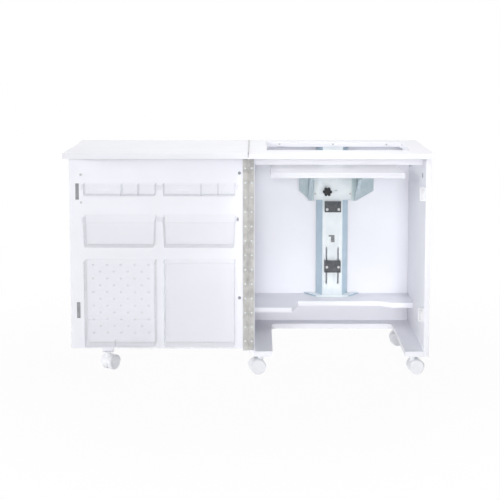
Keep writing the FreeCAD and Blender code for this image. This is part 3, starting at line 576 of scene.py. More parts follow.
class Palette:
    """Every finish of the cabinet, under the record's slot names."""

    finishes: tuple[Finish, ...] = (
        Finish("white_laminate", (0.865, 0.87, 0.92), (0.885, 0.89, 0.94)),
        GrainedSteel("zinc_steel", (0.60, 0.72, 0.745), (0.69, 0.79, 0.81), patches=40.0, clean=0.34,
                     handled=0.46, metal=0.85),
        # bright_zinc paints shade on its marked flanks
        ShadedFlankZinc("bright_zinc", (0.84, 0.90, 0.93), (0.90, 0.95, 0.97), patches=30.0, clean=0.34,
                   handled=0.46, metal=0.3, grain_low=0.95),
        GrainedSteel("hinge_steel", (0.53, 0.525, 0.515), (0.69, 0.685, 0.67), patches=45.0, clean=0.3,
                     handled=0.45, metal=0.9),
        GrainedSteel("bright_steel", (0.62, 0.62, 0.64), (0.75, 0.75, 0.76), patches=60.0, clean=0.22,
                     handled=0.34, metal=1.0),
        ClearPlastic("clear_plastic", (0.47, 0.48, 0.54), (0.55, 0.56, 0.62), clean=0.12, handled=0.24),
        ClearPlastic("frosted_plastic", (0.88, 0.885, 0.93), (0.91, 0.915, 0.955), clean=0.34, handled=0.46,
                     face_on=0.05, edge_on=0.6),
        Finish("black_plastic", (0.012, 0.012, 0.014), (0.03, 0.03, 0.034), patches=80.0, relief=0.15),
        Finish("dark_block", (0.075, 0.08, 0.087), (0.115, 0.121, 0.13), patches=60.0, clean=0.42,
               handled=0.55, relief=0.12),
        Finish("white_plastic", (0.84, 0.845, 0.88), (0.87, 0.875, 0.91), patches=25.0, clean=0.25,
               handled=0.36),
        Finish("guide_nylon", (0.74, 0.74, 0.70), (0.80, 0.80, 0.76), patches=40.0),
        GrainedSteel("dark_steel", (0.05, 0.05, 0.055), (0.09, 0.09, 0.095), patches=40.0, clean=0.35,
                     handled=0.5, metal=0.4),
        GrainedSteel("dull_steel", (0.30, 0.31, 0.33), (0.40, 0.41, 0.43), patches=50.0, clean=0.34,
                     handled=0.5, metal=0.9))

    @staticmethod
    @cache
    def get(slot: str) -> Material:
        """The material of a slot, made once."""
        return next(finish for finish in Palette.finishes if finish.name == slot).material()


class Dress:
    """Joins pieces to the model: bodies, replaced nodes, slots and materials."""

    smooth: float = math.radians(35.0)
    body_of: dict[str, str] = {node: body for body, nodes in frame["record"]["behaviour"]["bodies"].items()
                               for node in nodes}
    slot_of: dict[str, str] = {part["node"]: part["material_slot"] for part in frame["record"]["subparts"]}

    @classmethod
    def piece(cls, solid: Solid, node: str) -> None:
        """Finish a new piece that stands for a model node."""
        cls.added(solid, cls.body_of[node], cls.slot_of[node])
        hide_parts(node)

    @classmethod
    def added(cls, solid: Solid, body: str, slot: str) -> None:
        """Shade a new piece, give it its finish and let it ride on a body.

        Args:
            solid: the new piece.
            body: the body that it moves with.
            slot: its finish.
        """
        obj = solid.obj
        Solid.focus(obj)
        bpy.ops.object.shade_smooth_by_angle(angle=cls.smooth)
        obj.data.materials.clear()
        obj.data.materials.append(Palette.get(slot))
        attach(obj, body)
        LOG.info("%s: %d faces on %s", obj.name, len(obj.data.polygons), body)

    @classmethod
    def nodes(cls) -> None:
        """Give every model node the material of its slot."""
        for name, obj in frame["nodes"].items():
            material = Palette.get(cls.slot_of[name])
            if not obj.material_slots:
                obj.data.materials.append(material)
            for held in obj.material_slots:
                held.material = material


@dataclass
class Boards:
    """The carcass boards, the platform and the door, with eased edges."""

    ease: float = 0.8 * MM
    foot_width: float = 62 * MM
    foot_corner: float = 24 * MM
    foot_corner_faces: int = 8
    foot_nose_gap: float = 1.5 * MM
    shelf_arm: float = 133 * MM
    shelf_slope: float = 27 * MM
    shelf_middle: float = 103 * MM
    shelf_right_arm: float = 79 * MM
    shelf_right_slope: float = 35 * MM
    shelf_right_step: float = -27 * MM
    shelf_ease_angle: float = 10.0
    plain: tuple[str, ...] = ("left_side_panel", "right_side_panel", "back_panel", "front_apron",
                              "lift_platform", "door_panel", "hinge_stile")

    def build(self) -> None:
        """Make every board."""
        for node in self.plain:
            Dress.piece(Solid.block(node + "_board", *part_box(node)).ease(self.ease), node)
        self.shelf()
        self.foot()

    def shelf(self) -> None:
        """The shelf, drawn out from its left arm run by run, with a front that steps back and forward."""
        low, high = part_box("bottom_shelf")
        edge, front = low.x + self.shelf_arm, low.y
        board = Solid.block("bottom_shelf_board", low, (edge, high.y, high.z))
        right_slope = high.x - self.shelf_right_arm - self.shelf_right_slope
        runs = ((self.shelf_slope, self.shelf_middle), (right_slope - edge - self.shelf_slope, 0.0),
                (self.shelf_right_slope, self.shelf_right_step), (self.shelf_right_arm, 0.0))
        for reach, step in runs:
            board.pull(lambda middle, normal: abs(middle.x - edge) < MM and normal.x > ALONG, (reach, 0, 0))
            edge += reach
            if step:
                board.slide(lambda place, normal: abs(place.x - edge) < MM and abs(place.y - front) < MM,
                            (0, step, 0))
                front += step
        Dress.piece(board.ease(self.ease, angle=self.shelf_ease_angle), "bottom_shelf")

    def foot(self) -> None:
        """The U-shaped foot, with its inner corners rounded."""
        low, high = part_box("foot_frame")
        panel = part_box("left_side_panel")[0].y
        left, right, inner = low.x + self.foot_width, high.x - self.foot_width, high.y - self.foot_width
        board = Solid.block("foot_frame_board", (low.x, inner, low.z), high)
        for arm_low, arm_high in (
                ((low.x, panel, low.z), (left, high.y, high.z)),
                ((low.x + self.foot_nose_gap, low.y, low.z), (left, panel + self.foot_corner, high.z)),
                ((right, low.y, low.z), high)):
            board.combine(Solid.block("arm", arm_low, arm_high), Combine.ADD)
        board.bevel(lambda middle, line: abs(line.z) > ALONG and abs(middle.y - inner) < MM
                    and min(abs(middle.x - left), abs(middle.x - right)) < MM,
                    self.foot_corner, self.foot_corner_faces)
        Dress.piece(board.ease(self.ease), "foot_frame")


@dataclass
class ClearBins:
    """The trays, bins and pockets that hang on the storage door."""

    wall: float = 2 * MM
    lip: float = 1.6 * MM
    lip_height: float = 3.5 * MM
    lip_ease: float = 0.6 * MM
    corner: float = 7 * MM
    corner_faces: int = 5
    foot_round: float = 4 * MM
    foot_faces: int = 3
    ear: float = 10 * MM
    ear_thick: float = 3 * MM
    ear_drop: float = 9.7 * MM
    clip_below: float = 8 * MM
    tray_dividers: tuple[float, ...] = (127 * MM, 185 * MM)
    divider_drop: float = 1 * MM
    divider_ease: float = 0.4 * MM
    notion_front_drop: float = 15 * MM
    notion_taper: float = 4 * MM
    cut_ahead: float = 5 * MM
    slot_through: float = 12 * MM
    slot_corner: float = 3 * MM
    slot_faces: int = 4
    slot_left: float = 46 * MM
    slot_size: tuple[float, float] = (48 * MM, 9 * MM)
    slot_below: float = 12 * MM
    pocket_window: float = 194 * MM
    pocket_flange: float = 6 * MM
    window_through: float = 20 * MM
    window_corner: float = 9 * MM
    pocket_divider: float = 105 * MM
    pocket_divider_height: float = 24 * MM
    pocket_divider_corner: float = 10 * MM
    pocket_slot_right: float = 15 * MM
    pocket_slot_up: float = 6 * MM
    pocket_slot_size: tuple[float, float] = (80 * MM, 9 * MM)

    def build(self) -> None:
        """Make every tray, bin and pocket."""
        for side in ("left", "right"):
            self.tray("thread_tray_" + side)
            self.notion_bin("notion_bin_" + side)
        self.pocket()
        Dress.piece(self.shell("pattern_bin_frosted", *self.lipped("pattern_bin")), "pattern_bin")

    def eared(self, node: str) -> tuple[Vector, Vector]:
        """The corners of a bin's walls, between its end tabs."""
        low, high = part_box(node)
        return low + self.ear * X_AXIS, high - self.ear * X_AXIS

    def lipped(self, node: str) -> tuple[Vector, Vector]:
        """The corners of a bin's walls, inside the lip round its rim."""
        low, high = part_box(node)
        return low + Vector((self.lip, self.lip, 0)), high - self.lip * X_AXIS

    def shell(self, name: str, low: Vector, high: Vector, front_drop: float = 0.0) -> Solid:
        """An open bin with round corners, a lip round its rim and a flat floor.

        Args:
            name: the piece's name.
            low: the lowest corner of the walls.
            high: the highest corner of the walls.
            front_drop: how much lower the front rim is than the back.

        Returns:
            The bin.
        """
        shell = Solid.block(name, low, high)
        if front_drop:
            shell.slide(lambda place, normal: place.z > high.z - MM and place.y < low.y + MM,
                        (0, 0, -front_drop))
        shell.bevel(lambda middle, line: abs(line.z) > ALONG and middle.y < low.y + MM,
                    self.corner, self.corner_faces)
        shell.bevel(lambda middle, line: abs(line.z) < LEVEL and middle.z < low.z + TOUCH,
                    self.foot_round, self.foot_faces)
        across = X_AXIS.cross(Vector((0, high.y - low.y, front_drop)).normalized())
        brim = Vector((low.x, high.y, high.z - self.lip_height))
        shell.edit(Element.FACE, everything, partial(bpy.ops.mesh.bisect, plane_co=brim, plane_no=across))
        thicken = partial(bpy.ops.mesh.extrude_region_shrink_fatten,
                          TRANSFORM_OT_shrink_fatten={"value": self.lip, "use_even_offset": True})
        shell.edit(Element.FACE, lambda middle, normal: abs(normal.z) < LEVEL and normal.y < ALONG
                   and (middle - brim).dot(across) > 0, thicken)
        upper = (face for face in shell.obj.data.polygons if face.normal.z > ACROSS)
        centre = max(upper, key=lambda face: face.area).center.copy()
        return shell.hollow(self.wall, low.z + self.wall,
                            lambda middle, normal: (middle - centre).length < TOUCH)

    def ears(self, low: Vector, high: Vector) -> list[Solid]:
        """The two end tabs that hang a bin in its clips.

        Args:
            low: the lowest corner of the bin's walls.
            high: the highest corner of the bin's walls.

        Returns:
            The tabs.
        """
        back, top, root = high.y - self.wall, high.z - self.clip_below, self.wall / 2
        spans = ((low.x - self.ear, low.x + root), (high.x - root, high.x + self.ear))
        return [Solid.block("ear", (start, back - self.ear_thick, top - self.ear_drop),
                            (end, back, top)).ease(self.lip_ease) for start, end in spans]

    def finger_slot(self, solid: Solid, corner: Vector, size: tuple[float, float]) -> None:
        """Cut a slot with round corners through a bin's front."""
        slot = Solid.block("slot", corner, corner + Vector((size[0], self.slot_through, size[1])))
        solid.combine(slot.bevel(running(Y_AXIS), self.slot_corner, self.slot_faces), Combine.CUT)

    def tray(self, node: str) -> None:
        """A shallow thread tray with two dividers and a finger slot.

        Args:
            node: the model node.
        """
        low, high = self.eared(node)
        tray = self.shell(node + "_clear", low, high)
        slot_low = high.z - self.slot_below - self.slot_size[1]
        self.finger_slot(tray, Vector((low.x + self.slot_left, low.y - self.cut_ahead, slot_low)),
                         self.slot_size)
        parts = [tray, *self.ears(low, high)]
        root = self.wall / 2
        for place in self.tray_dividers:
            divider = Solid.block("divider", (low.x + place, low.y + root, low.z + root),
                                  (low.x + place + self.wall, high.y - root, high.z - self.divider_drop))
            parts.append(divider.ease(self.divider_ease))
        Dress.piece(Solid.join(parts), node)

    def notion_bin(self, node: str) -> None:
        """A deeper bin whose sides slope down to the front rim and close in towards its floor.

        Args:
            node: the model node.
        """
        low, high = self.eared(node)
        low.y += self.lip
        notion = self.shell(node + "_clear", low, high, self.notion_front_drop)
        middle = (low.x + high.x) / 2
        for side in (-1, 1):
            notion.slide(lambda place, normal: (place.x - middle) * side > 0
                         and place.z < low.z + self.foot_round + MM, (-side * self.notion_taper, 0, 0))
        Dress.piece(Solid.join([notion, *self.ears(low, high)]), node)

    def pocket(self) -> None:
        """The walls round the peg board: open behind, a low front, a low divider and a finger slot."""
        low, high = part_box("thread_pocket")
        pocket = self.shell("thread_pocket_clear", *self.lipped("thread_pocket"))
        left, right = low.x + self.pocket_flange, high.x - self.pocket_flange
        past = high.z + self.wall
        opened = Solid.block("opened", (left, high.y - 2 * self.wall, low.z + 2 * self.wall),
                             (right, high.y + self.wall, past))
        pocket.combine(opened, Combine.CUT)
        sill = high.z - self.pocket_window
        window = Solid.block("window", (left, low.y - self.cut_ahead, sill),
                             (right, low.y + self.window_through, past))
        window.bevel(lambda middle, line: abs(line.y) > ALONG and middle.z < sill + MM,
                     self.window_corner, self.corner_faces)
        pocket.combine(window, Combine.CUT)
        front = low.y + self.lip + self.wall / 2
        rim = Solid.block("rim", (left + self.window_corner, low.y, sill - self.lip_height),
                          (right - self.window_corner, front, sill)).ease(self.lip_ease)
        slot_left = high.x - self.pocket_slot_right - self.pocket_slot_size[0]
        self.finger_slot(pocket, Vector((slot_left, low.y - self.cut_ahead, low.z + self.pocket_slot_up)),
                         self.pocket_slot_size)
        place, rear = low.x + self.pocket_divider, (low.y + high.y) / 2
        top = low.z + self.pocket_divider_height
        divider = Solid.block("divider", (place, front, low.z + self.wall / 2),
                              (place + self.wall, rear, top))
        divider.bevel(lambda middle, line: abs(line.x) > ALONG and middle.z > top - MM
                      and middle.y > rear - MM, self.pocket_divider_corner, self.corner_faces)
        Dress.piece(Solid.join([pocket, rim, divider]), "thread_pocket")


@dataclass
class PegBoard:
    """The thread board: a framed panel with rows of tilted pegs."""

    corner: float = 6 * MM
    corner_faces: int = 4
    ease: float = 0.4 * MM
    rim: float = 5 * MM
    rim_sink: float = 1.2 * MM
    pitch: float = 47.6 * MM
    columns: int = 5
    rows: int = 11
    high_row: float = 20 * MM
    radius: float = 2.6 * MM
    sides: int = 12
    stem: float = 30 * MM
    tilt: float = 12.0
    collar_radius: float = 5.2 * MM
    collar: float = 1.6 * MM
    collar_step: float = 0.2 * MM
    tip_round: float = 1.6 * MM
    tip_faces: int = 3

    def build(self) -> None:
        """Make the panel and its pegs."""
        low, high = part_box("peg_board")
        panel = Solid.block("peg_board_panel", low, high)
        panel.bevel(running(Y_AXIS), self.corner, self.corner_faces)
        panel.recess(facing(-Y_AXIS), self.rim, (0, self.rim_sink, 0))
        Dress.piece(panel.ease(self.ease), "peg_board")
        places = []
        for row in range(self.rows):
            count = self.columns - row % 2
            height = high.z - self.high_row - row * self.pitch / 2
            places += [((low.x + high.x) / 2 + (column - (count - 1) / 2) * self.pitch,
                        low.y + self.rim_sink, height) for column in range(count)]
        Dress.piece(self.peg().repeat("thread_pegs_set", places), "thread_pegs")

    def peg(self) -> Solid:
        """One peg at the origin: a collar, a stem and a domed tip, pointing to the front and up.

        Returns:
            The peg.
        """
        peg = Solid.rod("peg", Vector(), -self.collar * Y_AXIS, self.collar_radius, self.sides)
        peg.recess(facing(-Y_AXIS), self.collar_radius - self.radius, (0, -self.collar_step, 0))
        tilt = math.radians(self.tilt)
        stem = Vector((0, -math.cos(tilt), math.sin(tilt))) * self.stem
        shoulder = -(self.collar + self.collar_step / 2)
        peg.pull(lambda middle, normal: normal.y < -ALONG and middle.y < shoulder, stem)
        return peg.bevel(lambda middle, line: middle.y < shoulder + stem.y + MM and abs(line.y) < ACROSS,
                         self.tip_round, self.tip_faces)


@dataclass
class Fasteners:
    """Screw heads with a cross recess on the hinge and the handle, and the caps over hidden screws."""

    radius: float = 3.1 * MM
    proud: float = 0.22 * MM
    sides: int = 20
    root: float = 0.5 * MM
    round_share: float = 0.8
    round_faces: int = 2
    cross_reach: float = 0.6
    cross_width: float = 0.14
    cross_depth: float = 0.25 * MM
    hinge_across: float = 11 * MM
    hinge_sink: float = 2.7 * MM
    hinge_pitch: float = 50 * MM
    hinge_count: int = 13
    handle_radius: float = 4.3 * MM
    handle_proud: float = 2.7 * MM
    handle_end: float = 10 * MM
    cap_radius: float = 5.4 * MM
    wall_cap_radius: float = 8.5 * MM
    cap_sides: int = 28
    cap_ring: float = 1.7 * MM
    cap_sink: float = 0.2 * MM
    cap_ease: float = 0.15 * MM
    cap_proud: float = 1.3 * MM
    cap_edge: float = 10 * MM
    door_cap_places: tuple[float, float] = (55 * MM, 179 * MM)
    wall_cap_place: tuple[float, float] = (81 * MM, 67 * MM)

    def build(self) -> None:
        """Place the heads on both leaves of the door hinge and on the handle screws, then the caps."""
        low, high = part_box("door_hinge_base_leaf")
        first = (low.z + high.z) / 2 - (self.hinge_count - 1) / 2 * self.hinge_pitch
        heights = [first + index * self.hinge_pitch for index in range(self.hinge_count)]
        for body, side in (("base", 1), ("door", -1)):
            places = [(side * self.hinge_across, low.y + self.hinge_sink, height) for height in heights]
            heads = self.head(self.radius, self.proud).repeat("hinge_screw_heads_" + body, places)
            Dress.added(heads, body, "bright_zinc")
        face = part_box("door_panel")[0].y
        low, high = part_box("door_handle")
        places = [((low.x + high.x) / 2, face, height)
                  for height in (low.z + self.handle_end, high.z - self.handle_end)]
        heads = self.head(self.handle_radius, self.handle_proud).repeat("handle_screw_heads", places)
        Dress.added(heads, "door", "bright_steel")
        self.caps()

    def head(self, radius: float, proud: float) -> Solid:
        """One head at the origin, facing the front.

        Args:
            radius: the head's radius.
            proud: how far it stands out.

        Returns:
            The head.
        """
        front = -proud * Y_AXIS
        head = Solid.rod("head", self.root * Y_AXIS, front, radius, self.sides)
        head.bevel(lambda middle, line: middle.y < -proud / 2 and abs(line.y) < ACROSS,
                   proud * self.round_share, self.round_faces)
        reach, width = radius * self.cross_reach, radius * self.cross_width
        for size in (Vector((reach, self.cross_depth, width)), Vector((width, self.cross_depth, reach))):
            head.combine(Solid.block("cross", front - size, front + size), Combine.CUT)
        return head

    def cap(self, place: Vector, out: Vector, radius: float) -> Solid:
        """One screw cap: a raised ring round a sunk middle."""
        cap = Solid.rod("cap", place, place + out * self.cap_proud, radius, self.cap_sides)
        return cap.recess(facing(out), self.cap_ring, -self.cap_sink * out).ease(self.cap_ease)

    def caps(self) -> None:
        """The caps over the door's edge screws and the one on the right wall."""
        low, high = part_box("door_panel")
        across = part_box("hinge_stile")[0].x - self.cap_edge
        from_top, from_bottom = self.door_cap_places
        caps = [self.cap(Vector((across, low.y, height)), -Y_AXIS, self.cap_radius)
                for height in (high.z - from_top, low.z + from_bottom)]
        Dress.added(Solid.join(caps, "door_screw_caps"), "door", "dull_steel")
        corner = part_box("right_side_panel")[0]
        back, drop = self.wall_cap_place
        place = Vector((corner.x, corner.y + back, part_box("base_top")[0].z - drop))
        cap = self.cap(place, -X_AXIS, self.wall_cap_radius)
        cap.obj.name = "wall_screw_cap"
        Dress.added(cap, "base", "dull_steel")


@dataclass
class PianoHinge:
    """The door's long hinge: two leaves whose rolled knuckles take turns along the pin."""

    knuckle: float = 2.4 * MM
    knuckle_sides: int = 20
    knuckle_ease: float = 0.6 * MM
    pitch: float = 25 * MM
    gap: float = 0.5 * MM
    clear: float = 0.6 * MM
    neck_ease: float = 0.2 * MM
    leaf_gap: float = 0.3 * MM
    leaf_thick: float = 1 * MM
    leaf_ease: float = 0.25 * MM

    def build(self) -> None:
        """Make both leaves."""
        self.leaf("door_hinge_base_leaf", 1, 0)
        self.leaf("door_hinge_door_leaf", -1, 1)

    def leaf(self, node: str, side: int, first: int) -> None:
        """One leaf with its own knuckles.

        Args:
            node: the model node.
            side: 1 if the leaf lies to the right of the pin, -1 to the left.
            first: the number of its lowest knuckle.
        """
        low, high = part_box(node)
        pin = low.y + self.knuckle
        front, back = pin + self.leaf_gap, pin + self.leaf_gap + self.leaf_thick
        near, far = sorted((side * (self.knuckle + self.clear / 2), high.x if side > 0 else low.x))
        bottom, top = (corner.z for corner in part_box("door_hinge_base_leaf"))
        count = int((top - bottom) / self.pitch)
        step = (top - bottom) / count
        plate = Solid.block(node + "_rolled", (near, front, low.z), (far, back, high.z))
        parts = [plate.ease(self.leaf_ease)]
        inner, outer = sorted((0.0, side * (self.knuckle + self.clear)))
        for index in range(first, count, 2):
            start = bottom + index * step + self.gap / 2
            end = bottom + (index + 1) * step - self.gap / 2
            roll = Solid.rod("knuckle", Vector((0, pin, start)), Vector((0, pin, end)), self.knuckle,
                             self.knuckle_sides).ease(self.knuckle_ease)
            neck = Solid.block("neck", (inner, front, start), (outer, back, end)).ease(self.neck_ease)
            parts.extend((roll, neck))
        Dress.piece(Solid.join(parts), node)


@dataclass
class LiftHardware:
    """The folded steel, the stop blocks and the star knob of the machine lift, and the top's clips."""

    fold: float = 0.9 * MM
    # how far sideways a face must turn to get the painted flank shade
    flank_turn: float = 0.7
    folded: tuple[str, ...] = ("lift_column", "column_base_plate", "carriage_plate", "left_wing",
                               "right_wing", "catch_hook", "insert_clips", "column_top_bracket",
                               "carriage_rear_plate")
    moulded: tuple[str, ...] = ("bumper_block", "stop_block")
    soft_faces: int = 3
    block_rim: float = 3 * MM
    block_sink: float = 1 * MM
    block_ease: float = 1.2 * MM
    knob_radius: float = 17 * MM
    knob_sides: int = 36
    knob_lobe: float = 5.5 * MM
    knob_lobes: int = 6
    knob_lobe_sides: int = 20
    knob_thick: float = 14 * MM
    knob_ease: float = 1.6 * MM
    knob_root: float = 2 * MM
    knob_stem: float = 4 * MM
    knob_stem_sides: int = 24
    knob_cap: float = 6 * MM
    knob_cap_proud: float = 0.4 * MM
    knob_cap_rim: float = 1 * MM
    knob_cap_sink: float = 0.3 * MM
    knob_hub: float = 8 * MM
    knob_hub_sides: int = 28
    knob_hub_reach: float = 3.4 * MM

    def build(self) -> None:
        """Make the lift's pieces."""
        for node in self.folded:
            folded = Solid.eased_copy(node, self.fold)
            mesh = folded.obj.data
            # mark the faces turned sideways; the bright zinc finish paints shade on them
            flanks = [float(abs(face.normal.x) > self.flank_turn) for face in mesh.polygons]
            mesh.attributes.new("flank", "FLOAT", "FACE").data.foreach_set("value", flanks)
            Dress.piece(folded, node)
        for node in self.moulded:
            block = Solid.block(node + "_moulded", *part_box(node))
            block.recess(facing(-Y_AXIS), self.block_rim, (0, self.block_sink, 0))
            Dress.piece(block.ease(self.block_ease, self.soft_faces), node)
        self.knob()

    def knob(self) -> None:
        """The star knob: six round lobes, a cap on its face, a hub and a stem."""
        low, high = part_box("lock_knob")
        centre = Vector(((low.x + high.x) / 2, 0, (low.z + high.z) / 2))
        front = centre + low.y * Y_AXIS
        back = front + self.knob_thick * Y_AXIS
        root = self.knob_root * Y_AXIS
        ring = self.knob_radius - self.knob_lobe
        star = Solid.rod("lock_knob_star", front, back, ring, self.knob_sides)
        for index in range(self.knob_lobes):
            angle = 2 * math.pi * index / self.knob_lobes
            offset = Vector((math.cos(angle), 0, math.sin(angle))) * ring
            lobe = Solid.rod("lobe", front + offset, back + offset, self.knob_lobe, self.knob_lobe_sides)
            star.combine(lobe, Combine.ADD)
        star.ease(self.knob_ease, self.soft_faces)
        cap = Solid.rod("cap", front - self.knob_cap_proud * Y_AXIS, front + root, self.knob_cap,
                        self.knob_hub_sides)
        cap.recess(facing(-Y_AXIS), self.knob_cap_rim, (0, self.knob_cap_sink, 0))
        stem = Solid.rod("stem", back - root, centre + high.y * Y_AXIS, self.knob_stem, self.knob_stem_sides)
        hub = Solid.rod("hub", back - root, back + self.knob_hub_reach * Y_AXIS, self.knob_hub,
                        self.knob_hub_sides)
        Dress.piece(Solid.join([star, cap, stem, hub]), "lock_knob")


@dataclass
class Casters:
    """The twin wheels and hoods of the five casters."""

    radius: float = 25 * MM
    sides: int = 56
    width: float = 16.5 * MM
    inner: float = 5.3 * MM
    rim: float = 5 * MM
    dish: float = 2 * MM
    hub: float = 8 * MM
    hub_proud: float = 1.6 * MM
    tread_round: float = 2.6 * MM
    tread_faces: int = 4
    axle: float = 3 * MM
    axle_sides: int = 20
    hood_ease: float = 0.7 * MM
    names: tuple[str, ...] = ("front_left", "front_right", "rear_left", "rear_right", "door")

    def build(self) -> None:
        """Make every caster."""
        joints = {joint["name"]: joint for joint in frame["record"]["behaviour"]["joints"]}
        pair = self.pair()
        for name in self.names:
            roll = joints[name + "_roll"]
            turn = Y_AXIS.rotation_difference(Vector(roll["axis"])).to_matrix().to_4x4()
            wheels = pair.copy(Matrix.Translation(Vector(roll["pos_m"])) @ turn)
            wheels.obj.name = name + "_caster_wheel_pair"
            Dress.piece(wheels, name + "_caster_wheels")
            hood = name + "_caster_hood"
            Dress.piece(Solid.eased_copy(hood, self.hood_ease), hood)
        bpy.data.objects.remove(pair.obj)

    def pair(self) -> Solid:
        """Two wheels on their axle along Y, with the axle's middle at the origin.

        Returns:
            The wheels and the axle as one piece.
        """
        parts = []
        for side in (-1, 1):
            out = side * Y_AXIS
            outer = self.inner + self.width
            wheel = Solid.rod("wheel", self.inner * out, outer * out, self.radius, self.sides)
            wheel.recess(facing(out), self.rim, -self.dish * out)
            wheel.recess(lambda middle, normal: normal.dot(out) > ALONG and abs(middle.y) < outer - MM
                         and math.hypot(middle.x, middle.z) < MM,
                         self.radius - self.rim - self.hub, self.hub_proud * out)
            wheel.bevel(lambda middle, line: abs(line.y) < ACROSS
                        and math.hypot(middle.x, middle.z) > self.radius - MM,
                        self.tread_round, self.tread_faces)
            parts.append(wheel)
        reach = (self.inner + MM) * Y_AXIS
        parts.append(Solid.rod("axle", -reach, reach, self.axle, self.axle_sides))
        return Solid.join(parts, "wheel_pair")


@dataclass
class DoorHardware:
    """The handle, the magnetic catches, the caster's saddle, the strike plates and the bin clips."""

    eased: tuple[tuple[str, float, int], ...] = (
        ("door_handle", 1.5 * MM, 3), ("magnetic_catches", 1 * MM, 3), ("door_caster_saddle", 0.8 * MM, 2),
        ("strike_plates", 0.3 * MM, 2), ("bin_clips", 0.6 * MM, 2))
    recessed: str = "magnetic_catches"
    catch_front: float = 0.99
    catch_rim: float = 2 * MM
    catch_sink: float = 1.5 * MM

    def build(self) -> None:
        """Make the door's small hardware."""
        for node, width, segments in self.eased:
            solid = Solid.eased_copy(node, width, segments)
            if node == self.recessed:
                solid.recess(lambda middle, normal: normal.y < -self.catch_front, self.catch_rim,
                             (0, self.catch_sink, 0))
            Dress.piece(solid, node)


@dataclass(frozen=True)
class Lamp:
    """A soft studio lamp: how strong it is, from where to where it shines and how large it is."""

    name: str
    kind: LampKind
    strength: float
    place: Point
    target: Point
    size: dict[str, float | str]
    mirrored: bool = False

    def build(self) -> None:
        """Hang the lamp; only a mirrored one shows in glossy pieces."""
        data = bpy.data.lights.new(self.name, self.kind.value)
        data.energy = self.strength
        for key, value in self.size.items():
            setattr(data, key, value)
        lamp = bpy.data.objects.new(self.name, data)
        lamp.location = self.place
        way = Vector(self.target) - lamp.location
        lamp.rotation_euler = way.to_track_quat("-Z", "Y").to_euler()
        lamp.visible_glossy = self.mirrored
        bpy.context.scene.collection.objects.link(lamp)


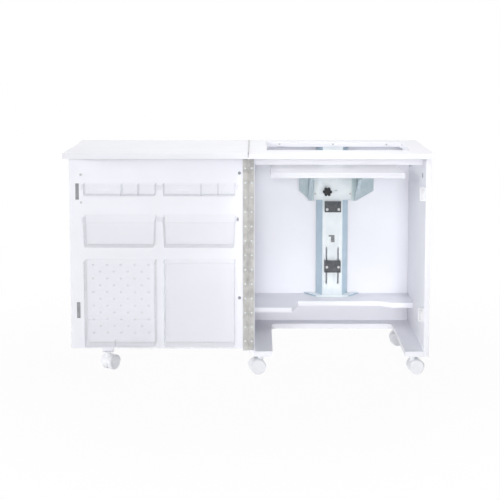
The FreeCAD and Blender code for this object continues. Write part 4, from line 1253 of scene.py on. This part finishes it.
@dataclass
class Studio:
    """The floor, the light and the camera."""

    camera_place: tuple[float, float] = (0.0253, -4.3393)
    camera_over_table: float = 0.4195
    camera_tilt: float = 0.0992
    camera_turn: float = 0.0048
    sensor: float = 36.0
    lens: float = 88.38
    shift: float = -0.2
    sight: float = 100.0
    clear_layers: int = 32
    ambient: float = 0.05
    ambient_colour: Colour = (0.97, 0.98, 1.0)
    floor_reach: float = 30.0
    floor_drop: float = 0.5 * MM
    floor_colour: Colour = (0.8, 0.8, 0.8)
    fade_start: float = 0.5
    fade_end: float = 1.6
    fade_least: float = 0.95
    far: float = 6.0
    far_lamps: tuple[tuple[str, float, float, float, float], ...] = (
        ("front_lamp", 1.45, 0.0, 5.0, 16.0), ("left_front_lamp", 0.8, -55.0, 10.0, 24.0),
        ("high_front_lamp", 0.4, -10.0, 38.0, 40.0), ("left_lamp", 1.2, -95.0, 12.0, 40.0),
        ("right_lamp", 1.5, 95.0, 12.0, 40.0), ("rear_lamp", 1.35, 180.0, 25.0, 50.0))
    bay_blend: float = 0.6
    bay_lamps: tuple[tuple[str, float, Point, Point, float, float], ...] = (
        ("bay_low_lamp", 16.0, (-0.3, -2.4, 0.22), (0.34, 0.2, 0.24), 18.0, 0.3),
        ("bay_high_lamp", 43.0, (0.5, -1.5, 1.9), (0.28, 0.08, 0.18), 24.0, 0.3),
        ("bay_floor_lamp", 26.0, (0.2, -2.2, 0.1), (0.27, 0.1, 0.52), 26.0, 0.25))
    table_lamp: tuple[str, float, Point, Point, float, float] = (
        "table_lamp", 6.0, (0, 0, 1.9), (0, 0.001, 0), 1.4, 0.7)

    def build(self) -> None:
        """Set up everything round the object."""
        scene = bpy.context.scene
        scene.view_settings.view_transform = "Standard"
        scene.cycles.transparent_max_bounces = self.clear_layers
        self.camera(scene)
        self.world(scene)
        self.floor()
        self.light()

    def light(self) -> None:
        """Far lamps all round, by turn, rise and spread in degrees, cones into the bay and a panel above."""
        for name, strength, turn, rise, spread in self.far_lamps:
            place = Euler((math.radians(-rise), 0, math.radians(turn))).to_matrix() @ (-self.far * Y_AXIS)
            Lamp(name, LampKind.FAR, strength, place, (0, 0, 0), {"angle": math.radians(spread)}).build()
        for name, strength, place, target, cone, radius in self.bay_lamps:
            Lamp(name, LampKind.CONE, strength, place, target, {
                "spot_size": math.radians(cone), "spot_blend": self.bay_blend,
                "shadow_soft_size": radius}).build()
        name, strength, place, target, width, depth = self.table_lamp
        Lamp(name, LampKind.PANEL, strength, place, target, {
            "shape": "RECTANGLE", "size": width, "size_y": depth}, True).build()

    def camera(self, scene: bpy.types.Scene) -> None:
        """Put the camera at the photograph's place.

        Args:
            scene: the scene that looks through it.
        """
        data = bpy.data.cameras.new("camera")
        data.sensor_width = self.sensor
        data.lens = self.lens
        data.shift_y = self.shift
        data.clip_end = self.sight
        camera = bpy.data.objects.new("camera", data)
        camera.location = (*self.camera_place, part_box("base_top")[1].z + self.camera_over_table)
        camera.rotation_euler = (math.pi / 2 - self.camera_tilt, 0, self.camera_turn)
        scene.collection.objects.link(camera)
        scene.camera = camera

    @staticmethod
    def seen(nodes: Nodes) -> Node:
        """Add a mask that is 1 for rays from the camera, from gloss and through clear pieces.

        Args:
            nodes: the tree that it goes into.

        Returns:
            The node whose value is the mask.
        """
        path = nodes.add("LightPath")
        first = nodes.add("Math", operation="MAXIMUM")
        second = nodes.add("Math", operation="MAXIMUM")
        nodes.link((path, "Is Camera Ray", first, 0), (path, "Is Glossy Ray", first, 1),
                   (first, "Value", second, 0), (path, "Is Transmission Ray", second, 1))
        return second

    def world(self, scene: bpy.types.Scene) -> None:
        """Make a white background that is seen at full strength and lights the object softly.

        Args:
            scene: the scene that it surrounds.
        """
        world = bpy.data.worlds.new("studio")
        world.use_nodes = True
        scene.world = world
        nodes = Nodes(world.node_tree)
        shown = world.node_tree.nodes["Background"]
        shown.inputs["Color"].default_value = (1, 1, 1, 1)
        shown.inputs["Strength"].default_value = 1.0
        light = nodes.add("Background", {
            "Color": (*self.ambient_colour, 1), "Strength": self.ambient})
        mix = nodes.add("MixShader")
        nodes.link((self.seen(nodes), "Value", mix, "Fac"), (light, "Background", mix, 1),
                   (shown, "Background", mix, 2),
                   (mix, "Shader", world.node_tree.nodes["World Output"], "Surface"))

    def floor(self) -> None:
        """A pale floor that keeps a soft shadow near the object and runs out to white."""
        Solid.focus()
        bpy.ops.mesh.primitive_plane_add(size=2 * self.floor_reach, location=(0, 0, -self.floor_drop))
        floor = Solid.settle("studio_floor").obj
        material = bpy.data.materials.new("studio_floor")
        material.use_nodes = True
        tree = material.node_tree
        nodes = Nodes(tree)
        tree.nodes.remove(tree.nodes["Principled BSDF"])
        plain = nodes.add("BsdfDiffuse", {"Color": (*self.floor_colour, 1)})
        white = nodes.add("Emission")
        place = nodes.add("TexCoord")
        length = nodes.add("VectorMath", operation="LENGTH")
        fade = nodes.add("MapRange", {"From Min": self.fade_start, "From Max": self.fade_end,
                                                "To Min": self.fade_least}, interpolation_type="SMOOTHSTEP")
        share = nodes.add("Math", operation="MULTIPLY")
        mix = nodes.add("MixShader")
        nodes.link((place, "Object", length, 0), (length, "Value", fade, "Value"),
                   (fade, "Result", share, 0), (self.seen(nodes), "Value", share, 1),
                   (share, "Value", mix, "Fac"), (plain, "BSDF", mix, 1), (white, "Emission", mix, 2),
                   (mix, "Shader", tree.nodes["Material Output"], "Surface"))
        floor.data.materials.append(material)


def main() -> None:
    """Build the pieces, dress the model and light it."""
    logging.basicConfig(level=logging.INFO, format="%(name)s %(message)s")
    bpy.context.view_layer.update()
    Dress.nodes()
    for assembly in (Boards(), ClearBins(), PegBoard(), PianoHinge(), Fasteners(), LiftHardware(), Casters(),
                     DoorHardware()):
        assembly.build()
        LOG.info("built %s", type(assembly).__name__)
    Studio().build()


if __name__ == "__main__":
    main()
